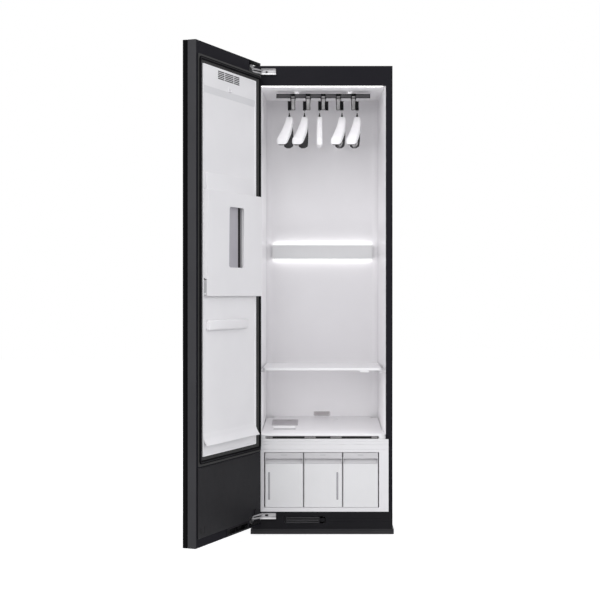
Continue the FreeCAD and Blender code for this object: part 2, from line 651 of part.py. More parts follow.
def trouser_clip():
    """A clip hung under a wing: a strap, and jaws parted by a slit."""
    share = 0.7
    x = -HANGER_SWEEP * share * share
    y = RAIL_Y - HANGER_HALF_LENGTH * share
    wing = hanger_section(share, -1, 0.0, False)
    top = min(p.z for p in wing)
    strap = box(x - 4, x + 4, y - 2.5, y + 2.5, top - 20, top + 6)
    jaws = bevelled_box(x - 10, x + 10, y - 6, y + 6, top - 54, top - 16, 3, Vec(1, 0, 0))
    slit = box(x - 11, x + 11, y - 1, y + 1, top - 55, top - 34)
    return union([strap, jaws]).cut(slit)


def hanger_core(index):
    """The dark insert under the shell, with its hook; a clip on the last two."""
    pieces = [hanger_wings(HANGER_WALL + 0.5, index == SLIM_HANGER)] + hanger_hook()
    if index > ARM_COUNT // 2:
        pieces.append(trouser_clip())
    return place_hanger(union(pieces), index)


# ---------------------------------------------------------------- shelf and filter
def shelf():
    """The lift-out shelf: a shallow downturned tray with ribs below and a pull tab."""
    bottom = SHELF_TOP - SHELF_THICKNESS
    plate = bevelled_box(-SHELF_HALF_WIDTH, SHELF_HALF_WIDTH, 10, 430, bottom, SHELF_TOP, 9, Vec(0, 0, 1))
    plate = plate.makeChamfer(2, edges_along(plate, Vec(1, 0, 0), lambda p: p.y < 11))
    cells = 6
    pitch = (2 * SHELF_HALF_WIDTH - 12) / cells
    pocket = box(0, pitch - 3, 15, 425, bottom - 1, SHELF_TOP - 3)
    plate = plate.cut(row(pocket.translated(Vec(-SHELF_HALF_WIDTH + 7.5, 0, 0)), cells, Vec(pitch, 0, 0)))
    tab = box(158, 196, 10.5, 22, bottom - 7, bottom + 3)
    tab = tab.makeChamfer(3, edges_along(tab, Vec(0, 1, 0), lambda p: p.z < bottom))
    return union([plate, tab])


def lint_filter():
    """The lift-out lint filter: a flanged frame round a slotted screen, on the slope of the floor."""
    width = FILTER_RIGHT - FILTER_LEFT
    length = FILTER_BACK - FILTER_FRONT
    body = box(0.8, width - 0.8, 0.8, length - 0.8, -22, 1.5)
    rim = FILTER_FLANGE
    flange = bevelled_box(-rim, width + rim, -rim, length + rim, 0.4, 3, 3, Vec(0, 0, 1))
    hollow = box(5, width - 5, 5, length - 5, -21, 4)
    bar_count = 8
    pitch = (width - 10) / bar_count
    bar = box(-1, 1, 4, length - 4, -20, -16)
    bars = row(bar.translated(Vec(5 + pitch, 0, 0)), bar_count - 1, Vec(pitch, 0, 0))
    grip = box(width / 2 - 22, width / 2 + 22, -9, -4, 0.6, 3)
    frame = union([union([body, flange, grip]).cut(hollow)] + bars)
    rise, run = CHAMBER_FLOOR_BACK - CHAMBER_FLOOR_FRONT, CHAMBER_DEPTH - FLOOR_SLOPE_START
    slope = math.degrees(math.atan2(rise, run))
    frame.rotate(Vec(0, length / 2, 0), Vec(1, 0, 0), slope)
    frame.translate(Vec(FILTER_LEFT, FILTER_FRONT, floor_z((FILTER_FRONT + FILTER_BACK) / 2)))
    return frame


# ---------------------------------------------------------------- tanks
def tank_span(index):
    """Left and right faces of a tank: its cell less a sliding gap, wider at the bay's own sides."""
    reach = DIVIDER_THICKNESS / 2 + TANK_GAP
    faces = [BAY_LEFT + BAY_SIDE_GAP]
    for x in DIVIDERS:
        faces += [x - reach, x + reach]
    faces.append(BAY_RIGHT - BAY_SIDE_GAP)
    return faces[2 * index], faces[2 * index + 1]


TANK_FRONT = 2.0
TANK_BACK = 236.0
TANK_BOTTOM = BAY_BOTTOM + 1.2
TANK_RIM = 334.0
LID_TOP = 340.0
HANDLE_BOTTOM = 293.0
HANDLE_DEPTH = 30.0
GRIP_BOTTOM = 315.5
WINDOW_LOW = 142.0
WINDOW_HIGH = 259.0


def window_x(index):
    """Centre of a tank's level slit."""
    left, right = tank_span(index)
    return left + 17 if index == 0 else right - 20


def tank_tub(index):
    """A water tub: thin walls, bevelled upright corners, stepped down at the front for the handle block."""
    left, right = tank_span(index)
    wall = 2.4
    up = Vec(0, 0, 1)
    x0, x1, y0, y1 = left + wall, right - wall, TANK_FRONT + wall, TANK_BACK - wall
    tub = bevelled_box(left, right, TANK_FRONT, TANK_BACK, TANK_BOTTOM, TANK_RIM, 4, up)
    inside = bevelled_box(x0, x1, y0, y1, TANK_BOTTOM + wall, TANK_RIM + 1, 3, up)
    step = box(left - 1, right + 1, TANK_FRONT - 1, TANK_FRONT + HANDLE_DEPTH, HANDLE_BOTTOM, TANK_RIM + 1)
    cuts = [inside, step]
    if index < 2:
        x = window_x(index)
        cuts.append(bevelled_box(x - 4, x + 4, 0, 8, WINDOW_LOW, WINDOW_HIGH, 2.6, Vec(0, 1, 0)))
    return tub.cut(cuts)


def tank_lid(index):
    """The tub's lid, with a filler hole behind; its front is a grip strip over a sloping finger recess."""
    left, right = tank_span(index)
    up = Vec(0, 0, 1)
    front, low = TANK_FRONT, HANDLE_BOTTOM + SEAT_GAP
    plate = box(left, right, front + 4, TANK_BACK, TANK_RIM + 0.2, LID_TOP)
    plate = plate.makeChamfer(4, edges_along(plate, up, lambda p: p.y > front + 5))
    block = bevelled_box(left, right, front, front + HANDLE_DEPTH - SEAT_GAP, low, LID_TOP, 2, up)
    recess = [(front - 2, low + 1), (front + 2, low + 1), (front + 20, 312), (front + 20, 330)]
    recess += [(front + 3, 330), (front + 3, GRIP_BOTTOM), (front - 2, GRIP_BOTTOM)]
    hollow = [(front + 7, low - 1), (front + 27, low - 1), (front + 27, 308.5), (front + 21, 308.5)]
    cuts = [prism_along_x(points, left + 3, right - 3) for points in (recess, hollow)]
    filler = rod(Vec((left + right) / 2, 150, TANK_RIM - 2), up, 18, 10)
    return union([plate, block]).cut(cuts + [filler])


def tank_window(index):
    """The clear strip in a tub's level slit."""
    x = window_x(index)
    low, high = WINDOW_LOW + 0.1, WINDOW_HIGH - 0.1
    return bevelled_box(x - 3.9, x + 3.9, TANK_FRONT + 0.6, TANK_FRONT + 2.4, low, high, 2.6, Vec(0, 1, 0))


# ---------------------------------------------------------------- machine space
def compressor():
    """A hermetic compressor: a domed can with a terminal cap, on three blocks."""
    centre = Vec(205, 400, 0)
    radius = 62.0
    up = Vec(0, 0, 1)
    can = ((0, radius - 6), (6, radius), (118, radius), (136, radius - 12), (146, 28), (158, 26))
    pieces = [lathed(Vec(0, 0, 30), up, can, 16)]
    for turn in (30, 150, 270):
        reach = Vec(math.cos(math.radians(turn)), math.sin(math.radians(turn)), 0)
        pieces.append(box(-8, 8, -8, 8, 4.2, 31).translated(reach * (radius - 12)))
    return union(pieces).translated(centre)


def heat_exchangers():
    """Evaporator and condenser under the filter: finned blocks between end plates, each with two headers."""
    fins = 8
    coils = []
    for front in (266.0, 352.0):
        left, right, depth = -262.0, -66.0, 60.0
        core = box(left, right, front, front + depth, 160, 370)
        pitch = (right - left - 6) / fins
        gap = box(0, pitch - 3, front - 1, front + depth - 22, 166, 364)
        core = core.cut(row(gap.translated(Vec(left + 4.5, 0, 0)), fins, Vec(pitch, 0, 0)))
        headers = [box(right - 1, right + 12, front + 34, front + 46, z, z + 12) for z in (194.0, 324.0)]
        coils.append(union([core] + headers))
    return Part.makeCompound(coils)


def fan_housing():
    """The scroll round the fan: a spiral bent in steps, open below into its outlet, with a front inlet."""
    y0, y1 = FAN_CENTRE.y - 34, FAN_CENTRE.y + 34
    wall = 3.0

    def scroll(inset):
        """The spiral's solid, its walls moved in by inset."""
        y = y0 + inset
        bends = 12
        corners = []
        for n in range(bends + 1):
            angle = math.radians(-90 + 270 / bends * n)
            radius = 70.0 + 22.5 * n / bends - inset
            reach = Vec(math.cos(angle), 0, math.sin(angle)) * radius
            corners.append(Vec(FAN_CENTRE.x, y, FAN_CENTRE.z) + reach)
        corners.append(Vec(corners[-1].x, y, corners[0].z))
        return Part.Face(Part.makePolygon(corners + corners[:1])).extrude(Vec(0, y1 - y0 - 2 * inset, 0))

    left = FAN_CENTRE.x - 92.5
    outlet = box(left + wall, left + 45, y0 + wall, y1 - wall, FAN_CENTRE.z - 72, FAN_CENTRE.z - 60)
    inlet = lathed(Vec(FAN_CENTRE.x, y0 - 1, FAN_CENTRE.z), Vec(0, 1, 0), ((0, 44), (8, 44)), 20)
    shaft_hole = lathed(Vec(FAN_CENTRE.x, y1 - 8, FAN_CENTRE.z), Vec(0, 1, 0), ((0, 9), (12, 9)), 8)
    return scroll(0.0).cut([scroll(wall), inlet, shaft_hole, outlet])


def fan_wheel():
    """The drum of forward blades on a back disc with its hub."""
    axis = Vec(0, 1, 0)
    back_y = FAN_CENTRE.y + 22
    front_y = FAN_CENTRE.y - 24
    centre = Vec(FAN_CENTRE.x, 0, FAN_CENTRE.z)
    turns = [2 * math.pi * n / (2 * FAN_BLADES) for n in range(2 * FAN_BLADES)]
    rim = [centre + Vec(FAN_RADIUS * math.cos(a), back_y, FAN_RADIUS * math.sin(a)) for a in turns]
    disc = tapered([rim, [p + axis * 3 for p in rim]])
    hub = lathed(centre + axis * (back_y - 14), axis, ((0, 12), (15, 12)), 12)
    blade = box(FAN_RADIUS - 15, FAN_RADIUS - 3, front_y, back_y + 1, -1, 1)
    blade.rotate(Vec(FAN_RADIUS - 7, 0, 0), axis, 32)
    blades = []
    for n in range(FAN_BLADES):
        turned = blade.copy()
        turned.rotate(Vec(0, 0, 0), axis, 360 / FAN_BLADES * n)
        blades.append(turned.translated(centre))
    bore = rod(centre + axis * (back_y - 20), axis, 4 + FIT, 40)
    return union([disc, hub] + blades).cut(bore)


def fan_motor():
    """The fan's motor on its bracket behind the scroll, its shaft reaching into the wheel."""
    axis = Vec(0, 1, 0)
    back_y = FAN_CENTRE.y + 36
    centre = Vec(FAN_CENTRE.x, 0, FAN_CENTRE.z)
    body = lathed(centre + axis * back_y, axis, ((0, 30), (6, 36), (56, 36), (62, 30)), 16)
    shaft = rod(centre + axis * (FAN_CENTRE.y + 4), axis, 4, 34)
    stand = prism_along_x(
        [(back_y + 8, 4.2), (back_y + 56, 4.2), (back_y + 50, FAN_CENTRE.z), (back_y + 14, FAN_CENTRE.z)],
        FAN_CENTRE.x - 3,
        FAN_CENTRE.x + 3,
    )
    foot = box(FAN_CENTRE.x - 40, FAN_CENTRE.x + 40, back_y + 8, back_y + 56, 4.2, 8)
    return union([body, shaft, stand, foot])


def steam_generator():
    """The boiler on its stand, with the steam pipe up to the outlet in the floor."""
    boiler = bevelled_box(20, 140, 262, 330, 60, 150, 14, Vec(1, 0, 0))
    legs = [box(x, x + 12, 270, 322, 4.2, 70) for x in (28.0, 120.0)]
    pump = bevelled_box(-30, 24, 276, 316, 80, 120, 12, Vec(1, 0, 0))
    return union([boiler, pump] + legs)


# ---------------------------------------------------------------- door
def door_box(s0, s1, n0, n1, z0, z1):
    """A block on the shut door: s from the free edge, n inwards from the inner face, z up."""
    x0, x1 = DOOR_WIDTH / 2 - s1, DOOR_WIDTH / 2 - s0
    return box(x0, x1, n0 - DOOR_GAP, n1 - DOOR_GAP, z0, z1)


def swung(shape):
    """A shape of the shut door, carried round to where the door stands open."""
    turned = shape.copy()
    turned.rotate(HINGE_PIN, Vec(0, 0, 1), -DOOR_OPEN_ANGLE)
    return turned


def hinge_pockets(grow):
    """The hollows in the door's hinge corners that clear the cabinet's brackets, grown by grow."""
    pockets = []
    for z in (HINGE_BOTTOM_Z, HINGE_TOP_Z):
        low, high = z - 6 - grow, z + HINGE_HEIGHT + 6 + grow
        pockets.append(door_box(562 - grow, 610, -47.5 - grow, 8, low, high))
        pockets.append(door_box(486 - grow, 610, -22 - grow, 8, low, high))
    return pockets


def door_pan():
    """The door's dark folded pan: edge walls, inner face with a cut-out, hinge pockets, front neck."""
    wall = 1.5
    depth = DOOR_PAN_DEPTH
    outer = door_box(0, DOOR_WIDTH, -depth, 0, DOOR_BOTTOM, DOOR_TOP)
    outer = outer.makeFillet(3, edges_along(outer, Vec(0, 0, 1), lambda p: p.y > -DOOR_GAP - 1))
    inset = DOOR_NECK_INSET
    low, high = DOOR_BOTTOM + inset, DOOR_TOP - inset
    neck = door_box(inset, DOOR_WIDTH - inset, -depth - DOOR_NECK_DEPTH, -depth, low, high)
    side = inset + wall
    inner = door_box(side, DOOR_WIDTH - side, -depth - 5, -wall, low + wall, high - wall)
    seat = 4.0
    s0, s1 = LINER_FREE_SIDE + seat, LINER_HINGE_SIDE - seat
    liner_hole = door_box(s0, s1, -10, 5, LINER_BOTTOM + seat, OPENING_TOP - seat)
    hollow = inner.cut(hinge_pockets(wall))
    return union([outer, neck]).cut([hollow, liner_hole] + hinge_pockets(0))


def door_front():
    """The black outer panel: a deep tray whose face covers the whole door."""
    back = -DOOR_PAN_DEPTH - DOOR_NECK_DEPTH
    front = back - DOOR_FRONT_DEPTH
    face, wall = 3.0, 2.5
    tray = door_box(0, DOOR_WIDTH, front, back, DOOR_BOTTOM, DOOR_TOP)
    tray = tray.makeFillet(2, edges_along(tray, Vec(0, 0, 1), lambda p: p.y < front - DOOR_GAP + 1))
    inner = door_box(wall, DOOR_WIDTH - wall, front + face, back + 1, DOOR_BOTTOM + wall, DOOR_TOP - wall)
    hollow = inner.cut(hinge_pockets(wall))
    rim_gap = 6 + DOOR_NECK_INSET
    low, high = DOOR_BOTTOM, DOOR_TOP
    ring = door_box(wall, DOOR_WIDTH - wall, back - 2, back, low + wall, high - wall)
    opening = door_box(rim_gap, DOOR_WIDTH - rim_gap, back - 3, back + 1, low + rim_gap, high - rim_gap)
    ring = ring.cut(opening)
    return union([tray.cut(hollow), ring]).cut(hinge_pockets(0))


def door_gasket():
    """The seal: a broad base frame with a narrower sealing bead standing on it."""
    base_top, bead_top = 3.0, 7.4
    hole = door_box(LINER_FREE_SIDE, LINER_HINGE_SIDE, -1, 12, LINER_BOTTOM, OPENING_TOP)
    base = door_box(17, DOOR_WIDTH - 4, 0.2, base_top, 354, 1911).cut(hole)
    bead = door_box(24, DOOR_WIDTH - 10, base_top, bead_top, 362, 1904)
    bead = bead.makeFillet(1.5, edges_along(bead, Vec(0, 0, 1), lambda p: p.y > base_top - DOOR_GAP + 3))
    return union([base, bead.cut(door_box(38, DOOR_WIDTH - 24, 2, 12, 376, 1890))])


DRIP_LIP_TOP = 500.0
DRIP_LIP_EDGE = 432.0
DRIP_LIP_PROUD = 24.0


def drip_lip():
    """The curved apron that throws condensate back into the floor tray."""
    def arc(a, b, c):
        ends = [Vec(0, n - DOOR_GAP, z) for n, z in (a, b, c)]
        return Part.Arc(*ends).toShape()

    root, root_end = (0.5, DRIP_LIP_TOP), (0.5, DRIP_LIP_TOP - 24)
    edge, edge_end = (DRIP_LIP_PROUD, DRIP_LIP_EDGE), (DRIP_LIP_PROUD - 1, DRIP_LIP_EDGE - 3)
    outer = arc(root, (7.5, 463.0), edge)
    inner = arc(edge_end, (4.6, 460.0), root_end)
    lines = []
    for a, b in ((edge, edge_end), (root_end, root)):
        lines.append(Part.makeLine(Vec(0, a[0] - DOOR_GAP, a[1]), Vec(0, b[0] - DOOR_GAP, b[1])))
    section = Part.Face(Part.Wire(Part.__sortEdges__([outer, lines[0], inner, lines[1]])))
    length = LINER_HINGE_SIDE - LINER_FREE_SIDE - 2
    return section.extrude(Vec(length, 0, 0)).translated(Vec(DOOR_WIDTH / 2 - LINER_HINGE_SIDE + 1, 0, 0))


def vent_slots():
    """Three groups of five slots high on the liner."""
    tools = []
    for s0, s1 in ((179, 237), (242, 320), (325, 375)):
        slot = door_box(s0, s1, -12, 12, 0, 3.4)
        tools += row(slot.translated(Vec(0, 0, 1836.8)), 5, Vec(0, 0, 6.9))
    return tools


def liner_head(z1):
    """The liner's thicker head: its foot slopes back down to the panel."""
    slope_top, slope_foot = 1796.0, 1771.0
    section = [(2.0, z1), (6.4, z1), (6.4, slope_top), (3.0, slope_foot), (2.0, slope_foot)]
    points = [(n - DOOR_GAP, z) for n, z in section]
    left = DOOR_WIDTH / 2 - LINER_HINGE_SIDE + LINER_RIM
    right = DOOR_WIDTH / 2 - LINER_FREE_SIDE - LINER_RIM
    return prism_along_x(points, left, right)


def door_liner():
    """The white inner moulding: rimmed panel, thicker head, vent slots, coat hook and drip apron."""
    skin = 3.0
    s0, s1 = LINER_FREE_SIDE + SEAT_GAP, LINER_HINGE_SIDE - SEAT_GAP
    z0, z1 = LINER_BOTTOM + SEAT_GAP, OPENING_TOP - SEAT_GAP
    panel = door_box(s0, s1, 0.2, skin, z0, z1)
    inside = door_box(s0 + LINER_RIM, s1 - LINER_RIM, 0, 12, z0 + LINER_RIM, z1 - LINER_RIM)
    rim = door_box(s0, s1, skin, LINER_RIM_PROUD, z0, z1).cut(inside)
    hook_plate = door_box(271, 293, 5, 9, 1797, 1815)
    hook_beak = door_box(275, 289, 8, 18, 1797, 1801)
    hook_tip = door_box(275, 289, 15.5, 18, 1797, 1808)
    pieces = [panel, rim, liner_head(z1 - 1), drip_lip(), hook_plate, hook_beak, hook_tip]
    return union(pieces).cut(vent_slots())


def lower_cover():
    """The dark panel under the liner, with a small lift-out cap, a bottom vent strip and a round buffer."""
    plate = door_box(12, DOOR_WIDTH - 16, 0.2, 3, 84, 350)
    plate = plate.makeFillet(1.5, edges_along(plate, Vec(1, 0, 0), lambda p: p.y > -DOOR_GAP + 2))
    cap_groove = door_box(38, 70, 2, 5, 100, 124).cut(door_box(39.2, 68.8, 1, 6, 101.2, 122.8))
    buffer = rod(Vec(DOOR_WIDTH / 2 - 539, 2 - DOOR_GAP, 110), Vec(0, 1, 0), 12.5, 5)
    notch = door_box(480, 610, -5, 8, 50, 96.5)
    return union([plate.cut([cap_groove, notch]), buffer])


def lower_vent():
    """The ribbed vent strip along the door's bottom edge."""
    plate = door_box(272, 470, 0.2, 2, 54, 80)
    slot = door_box(276, 284, -1, 4, 57, 77)
    return plate.cut(row(slot, 13, Vec(-15, 0, 0)))


def press_base():
    """The raised bed that trousers lie on, and the open-ended bar below that holds their hems."""
    bed = door_box(PRESS_FREE_SIDE + 22, PRESS_BED_HINGE_SIDE, 3.2, 9, PRESS_BOTTOM + 14, PRESS_BED_TOP)
    bed = bed.makeFillet(2.5, edges_along(bed, Vec(1, 0, 0), lambda p: p.y > 0))
    bar = door_box(81, 436, 3.2, 20, 866, 906)
    bar = bar.makeFillet(9, edges_along(bar, Vec(1, 0, 0), lambda p: p.y > 11))
    groove = door_box(80, 437, 5.5, 17, 869, 903)
    groove = groove.makeFillet(5, edges_along(groove, Vec(1, 0, 0), lambda p: p.y > 5))
    return Part.makeCompound([bed, bar.cut(groove)])


PRESS_PIVOT_Z = 1006.0
PRESS_PIVOT_N = 10.5
PRESS_PIN = 3.5


def press_pivot_x(side_s):
    """X on the shut door of a place s along it."""
    return DOOR_WIDTH / 2 - side_s


def press_pivots():
    """The two grey pivot blocks at the press plate's lower corners."""
    along = Vec(1, 0, 0)
    blocks = []
    for s0, s1 in PRESS_BLOCKS:
        block = door_box(s0, s1, 3.2, PRESS_PIVOT_N + 6, PRESS_BOTTOM + 3, PRESS_BOTTOM + 62)
        block = block.makeChamfer(4.5, edges_along(block, along, lambda p: p.z < PRESS_PIVOT_Z and p.y > 0))
        start = Vec(press_pivot_x(s1 + 1), PRESS_PIVOT_N - DOOR_GAP, PRESS_PIVOT_Z)
        blocks.append(block.cut(rod(start, along, PRESS_PIN + FIT, s1 - s0 + 2)))
    return Part.makeCompound(blocks)


def press_section(inset, back):
    """The press plate's outline from the side, its walls moved in by inset; it is thinner at its foot."""
    low, high = PRESS_BOTTOM + inset, PRESS_TOP - inset
    foot, head = PRESS_PROUD - 4 - inset, PRESS_PROUD - inset
    return [(n - DOOR_GAP, z) for n, z in ((back, low), (foot, low), (head, high), (back, high))]


def press_panel():
    """The tilting press plate: a shallow tray with deep sides, a tall window and pivot pins low down."""
    s0, s1 = PRESS_FREE_SIDE, PRESS_HINGE_SIDE
    wall = 2.5
    back = 10.0
    x0, x1 = press_pivot_x(s1), press_pivot_x(s0)
    plate = prism_along_x(press_section(0.0, back), x0, x1)
    plate = plate.makeFillet(3, edges_along(plate, Vec(1, 0, 0), lambda p: p.y > 8))
    hollow = prism_along_x(press_section(wall, back - 1), x0 + wall, x1 - wall)
    skirt_foot = PRESS_BOTTOM + 70
    skirts = [door_box(s, s + wall, 4.3, 15, skirt_foot, PRESS_TOP) for s in (s0, s1 - wall)]
    w0, w1 = PRESS_WINDOW_SIDES
    z0, z1 = PRESS_WINDOW_ENDS
    inner_n, outer_n = back + 2.6, PRESS_PROUD - 5
    window = rounded_box(press_pivot_x(w1), press_pivot_x(w0), 0, 40, z0, z1, 12, Vec(0, 1, 0))
    frame = door_box(w0 - 5, w1 + 5, inner_n, outer_n, z0 - 5, z1 + 5)
    frame = frame.cut(door_box(w0 - 1, w1 + 1, 0, 40, z0 - 1, z1 + 1))
    shell = union([plate.cut(hollow), frame] + skirts).cut(window)
    spans = ((PRESS_BLOCKS[0][0] - 2, PRESS_BLOCKS[0][1] + 1), (PRESS_BLOCKS[1][0] - 1, LINER_HINGE_SIDE + 2))
    reliefs = [door_box(a, b, 0, 17.5, PRESS_BOTTOM - 1, PRESS_BOTTOM + 66) for a, b in spans]
    shell = shell.cut(reliefs)
    pins = []
    for inner, direction in ((PRESS_BLOCKS[0][1] + 1, 1), (PRESS_BLOCKS[1][0] - 1, -1)):
        face = press_pivot_x(inner)
        start = Vec(face - direction * 4, PRESS_PIVOT_N - DOOR_GAP, PRESS_PIVOT_Z)
        pins.append(rod(start, Vec(direction, 0, 0), PRESS_PIN, 21))
        x0, x1 = sorted((face - direction * 4.0, face - direction * 0.4))
        pins.append(box(x0, x1, back - DOOR_GAP, outer_n - DOOR_GAP, PRESS_BOTTOM + 1, PRESS_BOTTOM + 30))
    return union([shell] + pins)


def press_pad():
    """The dark pad behind the press plate's window, with a crease ridge towards its hinge side."""
    w0, w1 = PRESS_WINDOW_SIDES
    z0, z1 = PRESS_WINDOW_ENDS
    pad = door_box(w0 - 12, w1 + 12, 9.2, 12, z0 - 16, z1 + 16)
    ridge = door_box(350, 357, 11, 14.5, z0 + 3, z1 - 3)
    return union([pad, ridge])


# ---------------------------------------------------------------- hinges
def hinge_bracket(z):
    """The cabinet half of a hinge: mounting block, cranked arm, knuckle and pin."""
    pin = Vec(HINGE_PIN.x, HINGE_PIN.y, 0)
    back = -SEAT_GAP / 3
    block = bevelled_box(-257, -193, -16, back, z, z + HINGE_HEIGHT, 4, Vec(0, 1, 0))
    arm_low, arm_high = z + HINGE_EAR + 2, z + HINGE_HEIGHT - HINGE_EAR - 2
    direction = (Vec(-252, -9, 0) - pin).normalize()
    across = Vec(-direction.y, direction.x, 0) * 5
    far = Vec(-248, -7, 0)
    corners = [pin + across, pin - across, far - across, far + across]
    arm = prism([(p.x, p.y) for p in corners], arm_low, arm_high)
    arm = arm.common(box(-320, -193, -80, back, arm_low, arm_high))
    radius = HINGE_KNUCKLE_RADIUS
    knuckle = lathed(pin + Vec(0, 0, arm_low), Vec(0, 0, 1), ((0, radius), (arm_high - arm_low, radius)), 12)
    shaft = rod(pin + Vec(0, 0, z), Vec(0, 0, 1), HINGE_PIN_RADIUS, HINGE_HEIGHT)
    return union([block, arm, knuckle, shaft])


def hinge_brackets():
    """The cabinet halves of the upper and lower hinges."""
    return Part.makeCompound([hinge_bracket(HINGE_BOTTOM_Z), hinge_bracket(HINGE_TOP_Z)])


def hinge_leaf(z):
    """The door half of a hinge: a plate in the pocket's floor with an ear over and an ear under the arm."""
    pin_x, pin_y = HINGE_PIN.x, HINGE_PIN.y
    plate = door_box(490, 556, -21.8, -19, z, z + HINGE_HEIGHT)
    outline = [(-250, -29.8), (-250, -27), (-264, -28), (pin_x + 3, pin_y + 7), (pin_x - 5, pin_y + 5)]
    outline += [(pin_x - 5.5, pin_y - 4), (pin_x + 3, pin_y - 6.5), (-263.4, -41), (-263.4, -29.8)]
    ear = prism(outline, z, z + HINGE_EAR)
    ears = [ear, ear.translated(Vec(0, 0, HINGE_HEIGHT - HINGE_EAR))]
    bore = rod(Vec(pin_x, pin_y, z - 1), Vec(0, 0, 1), HINGE_PIN_RADIUS + FIT, HINGE_HEIGHT + 2)
    return union([plate] + ears).cut(bore)


def hinge_leaves():
    """The door halves of both hinges."""
    return Part.makeCompound([hinge_leaf(HINGE_BOTTOM_Z), hinge_leaf(HINGE_TOP_Z)])


# ---------------------------------------------------------------- assembly
def door_nodes():
    """Every node that rides on the door, in its open place."""
    shut = {
        "door_pan": door_pan,
        "door_front": door_front,
        "door_gasket": door_gasket,
        "door_liner": door_liner,
        "lower_cover": lower_cover,
        "lower_vent": lower_vent,
        "press_base": press_base,
        "press_pivots": press_pivots,
        "press_pad": press_pad,
        "press_panel": press_panel,
        "hinge_leaves": hinge_leaves,
    }
    return {name: swung(make()) for name, make in shut.items()}


def tank_nodes():
    """The three tanks: supply, drain and spare."""
    nodes = {}
    for index, name in enumerate(("supply", "drain", "spare")):
        nodes[f"{name}_tank"] = tank_tub(index)
        nodes[f"{name}_tank_lid"] = tank_lid(index)
        if index < 2:
            nodes[f"{name}_level_window"] = tank_window(index)
    return nodes


def hanger_nodes():
    """A shell and a core for each hanger, numbered from the left."""
    nodes = {}
    for index in range(ARM_COUNT):
        nodes[f"hanger_{index + 1}_shell"] = hanger_shell(index)
        nodes[f"hanger_{index + 1}_core"] = hanger_core(index)
    return nodes


def cabinet_nodes():
    """Every node that is fixed to the cabinet or runs in it."""
    makers = (
        side_panels, top_cover, back_panel, front_header, base_pan, kick_panel, intake_grille, lower_frame,
        tank_bay, liner_walls, liner_back, liner_ceiling, chamber_floor, air_grilles, light_bar, lamp_strips,
        guide_bars, drive_motor, drive_crank, hanger_rail, hanger_arms, hook_cups, shelf,
        lint_filter, compressor, heat_exchangers, fan_housing, fan_wheel, fan_motor, steam_generator,
        hinge_brackets,
    )
    return {make.__name__: make() for make in makers}


def main():
    """Build every node and write it to the parts folder."""
    os.makedirs("parts", exist_ok=True)
    nodes = {**cabinet_nodes(), **tank_nodes(), **hanger_nodes(), **door_nodes()}
    for name, shape in nodes.items():
        shape.exportStep(os.path.join("parts", name + ".step"))


main()
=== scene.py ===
import bpy
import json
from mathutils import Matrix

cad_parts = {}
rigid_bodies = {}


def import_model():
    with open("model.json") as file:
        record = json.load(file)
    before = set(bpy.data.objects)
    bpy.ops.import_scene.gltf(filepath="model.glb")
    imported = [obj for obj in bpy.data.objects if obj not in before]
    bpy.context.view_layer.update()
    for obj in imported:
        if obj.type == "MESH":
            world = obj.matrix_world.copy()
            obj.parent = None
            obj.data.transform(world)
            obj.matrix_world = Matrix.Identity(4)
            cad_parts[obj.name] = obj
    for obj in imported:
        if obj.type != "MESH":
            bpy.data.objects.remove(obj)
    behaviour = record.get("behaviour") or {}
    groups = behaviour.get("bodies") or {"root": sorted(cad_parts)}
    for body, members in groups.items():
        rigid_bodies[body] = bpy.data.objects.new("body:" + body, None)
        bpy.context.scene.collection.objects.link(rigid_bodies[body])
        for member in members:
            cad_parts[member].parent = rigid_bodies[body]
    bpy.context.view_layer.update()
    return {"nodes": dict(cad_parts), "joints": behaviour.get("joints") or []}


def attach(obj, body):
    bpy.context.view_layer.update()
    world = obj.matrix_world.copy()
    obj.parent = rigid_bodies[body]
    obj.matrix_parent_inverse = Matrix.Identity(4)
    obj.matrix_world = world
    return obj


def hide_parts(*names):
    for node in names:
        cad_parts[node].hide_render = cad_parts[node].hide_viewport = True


for leftover in list(bpy.data.objects):
    bpy.data.objects.remove(leftover)

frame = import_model()

import json
import logging
import math
from dataclasses import dataclass
from enum import Enum
from typing import ClassVar, Iterable, Sequence

import bmesh
from mathutils import Matrix, Vector

LOG = logging.getLogger("steam_cabinet")
MM = 0.001
SHARP = 38.0  # degrees: edges that turn by more than this stay sharp

Box = tuple[float, float, float, float]
Mesh = bpy.types.Mesh
Node = bpy.types.Node
Piece = bpy.types.Object
Point = Sequence[float]
Socket = bpy.types.NodeSocket
Tree = bpy.types.NodeTree


# ---------------------------------------------------------------- named choices
class Body(Enum):
    """The bodies that carry pieces, by the names the frame gives them."""

    CABINET = "cabinet"
    DOOR = "door"
    RAIL = "shaking_rail"
    FILTER = "filter"
    SUPPLY = "supply_unit"
    DRAIN = "drain_unit"
    SPARE = "spare_unit"
    HANGER_1 = "hanger_1"
    HANGER_2 = "hanger_2"
    HANGER_3 = "hanger_3"
    HANGER_4 = "hanger_4"
    HANGER_5 = "hanger_5"


class Relief(Enum):
    """The kinds of fine surface a finish can have, by their shader groups."""

    MOULDED = "moulded_grain"
    BRUSHED = "brushed_lines"
    WOVEN = "woven_cloth"


# ---------------------------------------------------------------- node trees
def add_node(tree: Tree, kind: str, feeds: dict[int | str, object] | None = None, **settings: object) -> Node:
    """Add a node to a tree.

    Args:
        tree: the tree.
        kind: the node's type.
        feeds: by input, the socket that drives it or the value that it keeps.
        settings: the node's options by name.

    Returns:
        The node.
    """
    node = tree.nodes.new(kind)
    for option, value in settings.items():
        setattr(node, option, value)
    for place, value in (feeds or {}).items():
        if isinstance(value, Socket):
            tree.links.new(value, node.inputs[place])
        else:
            node.inputs[place].default_value = value
    return node


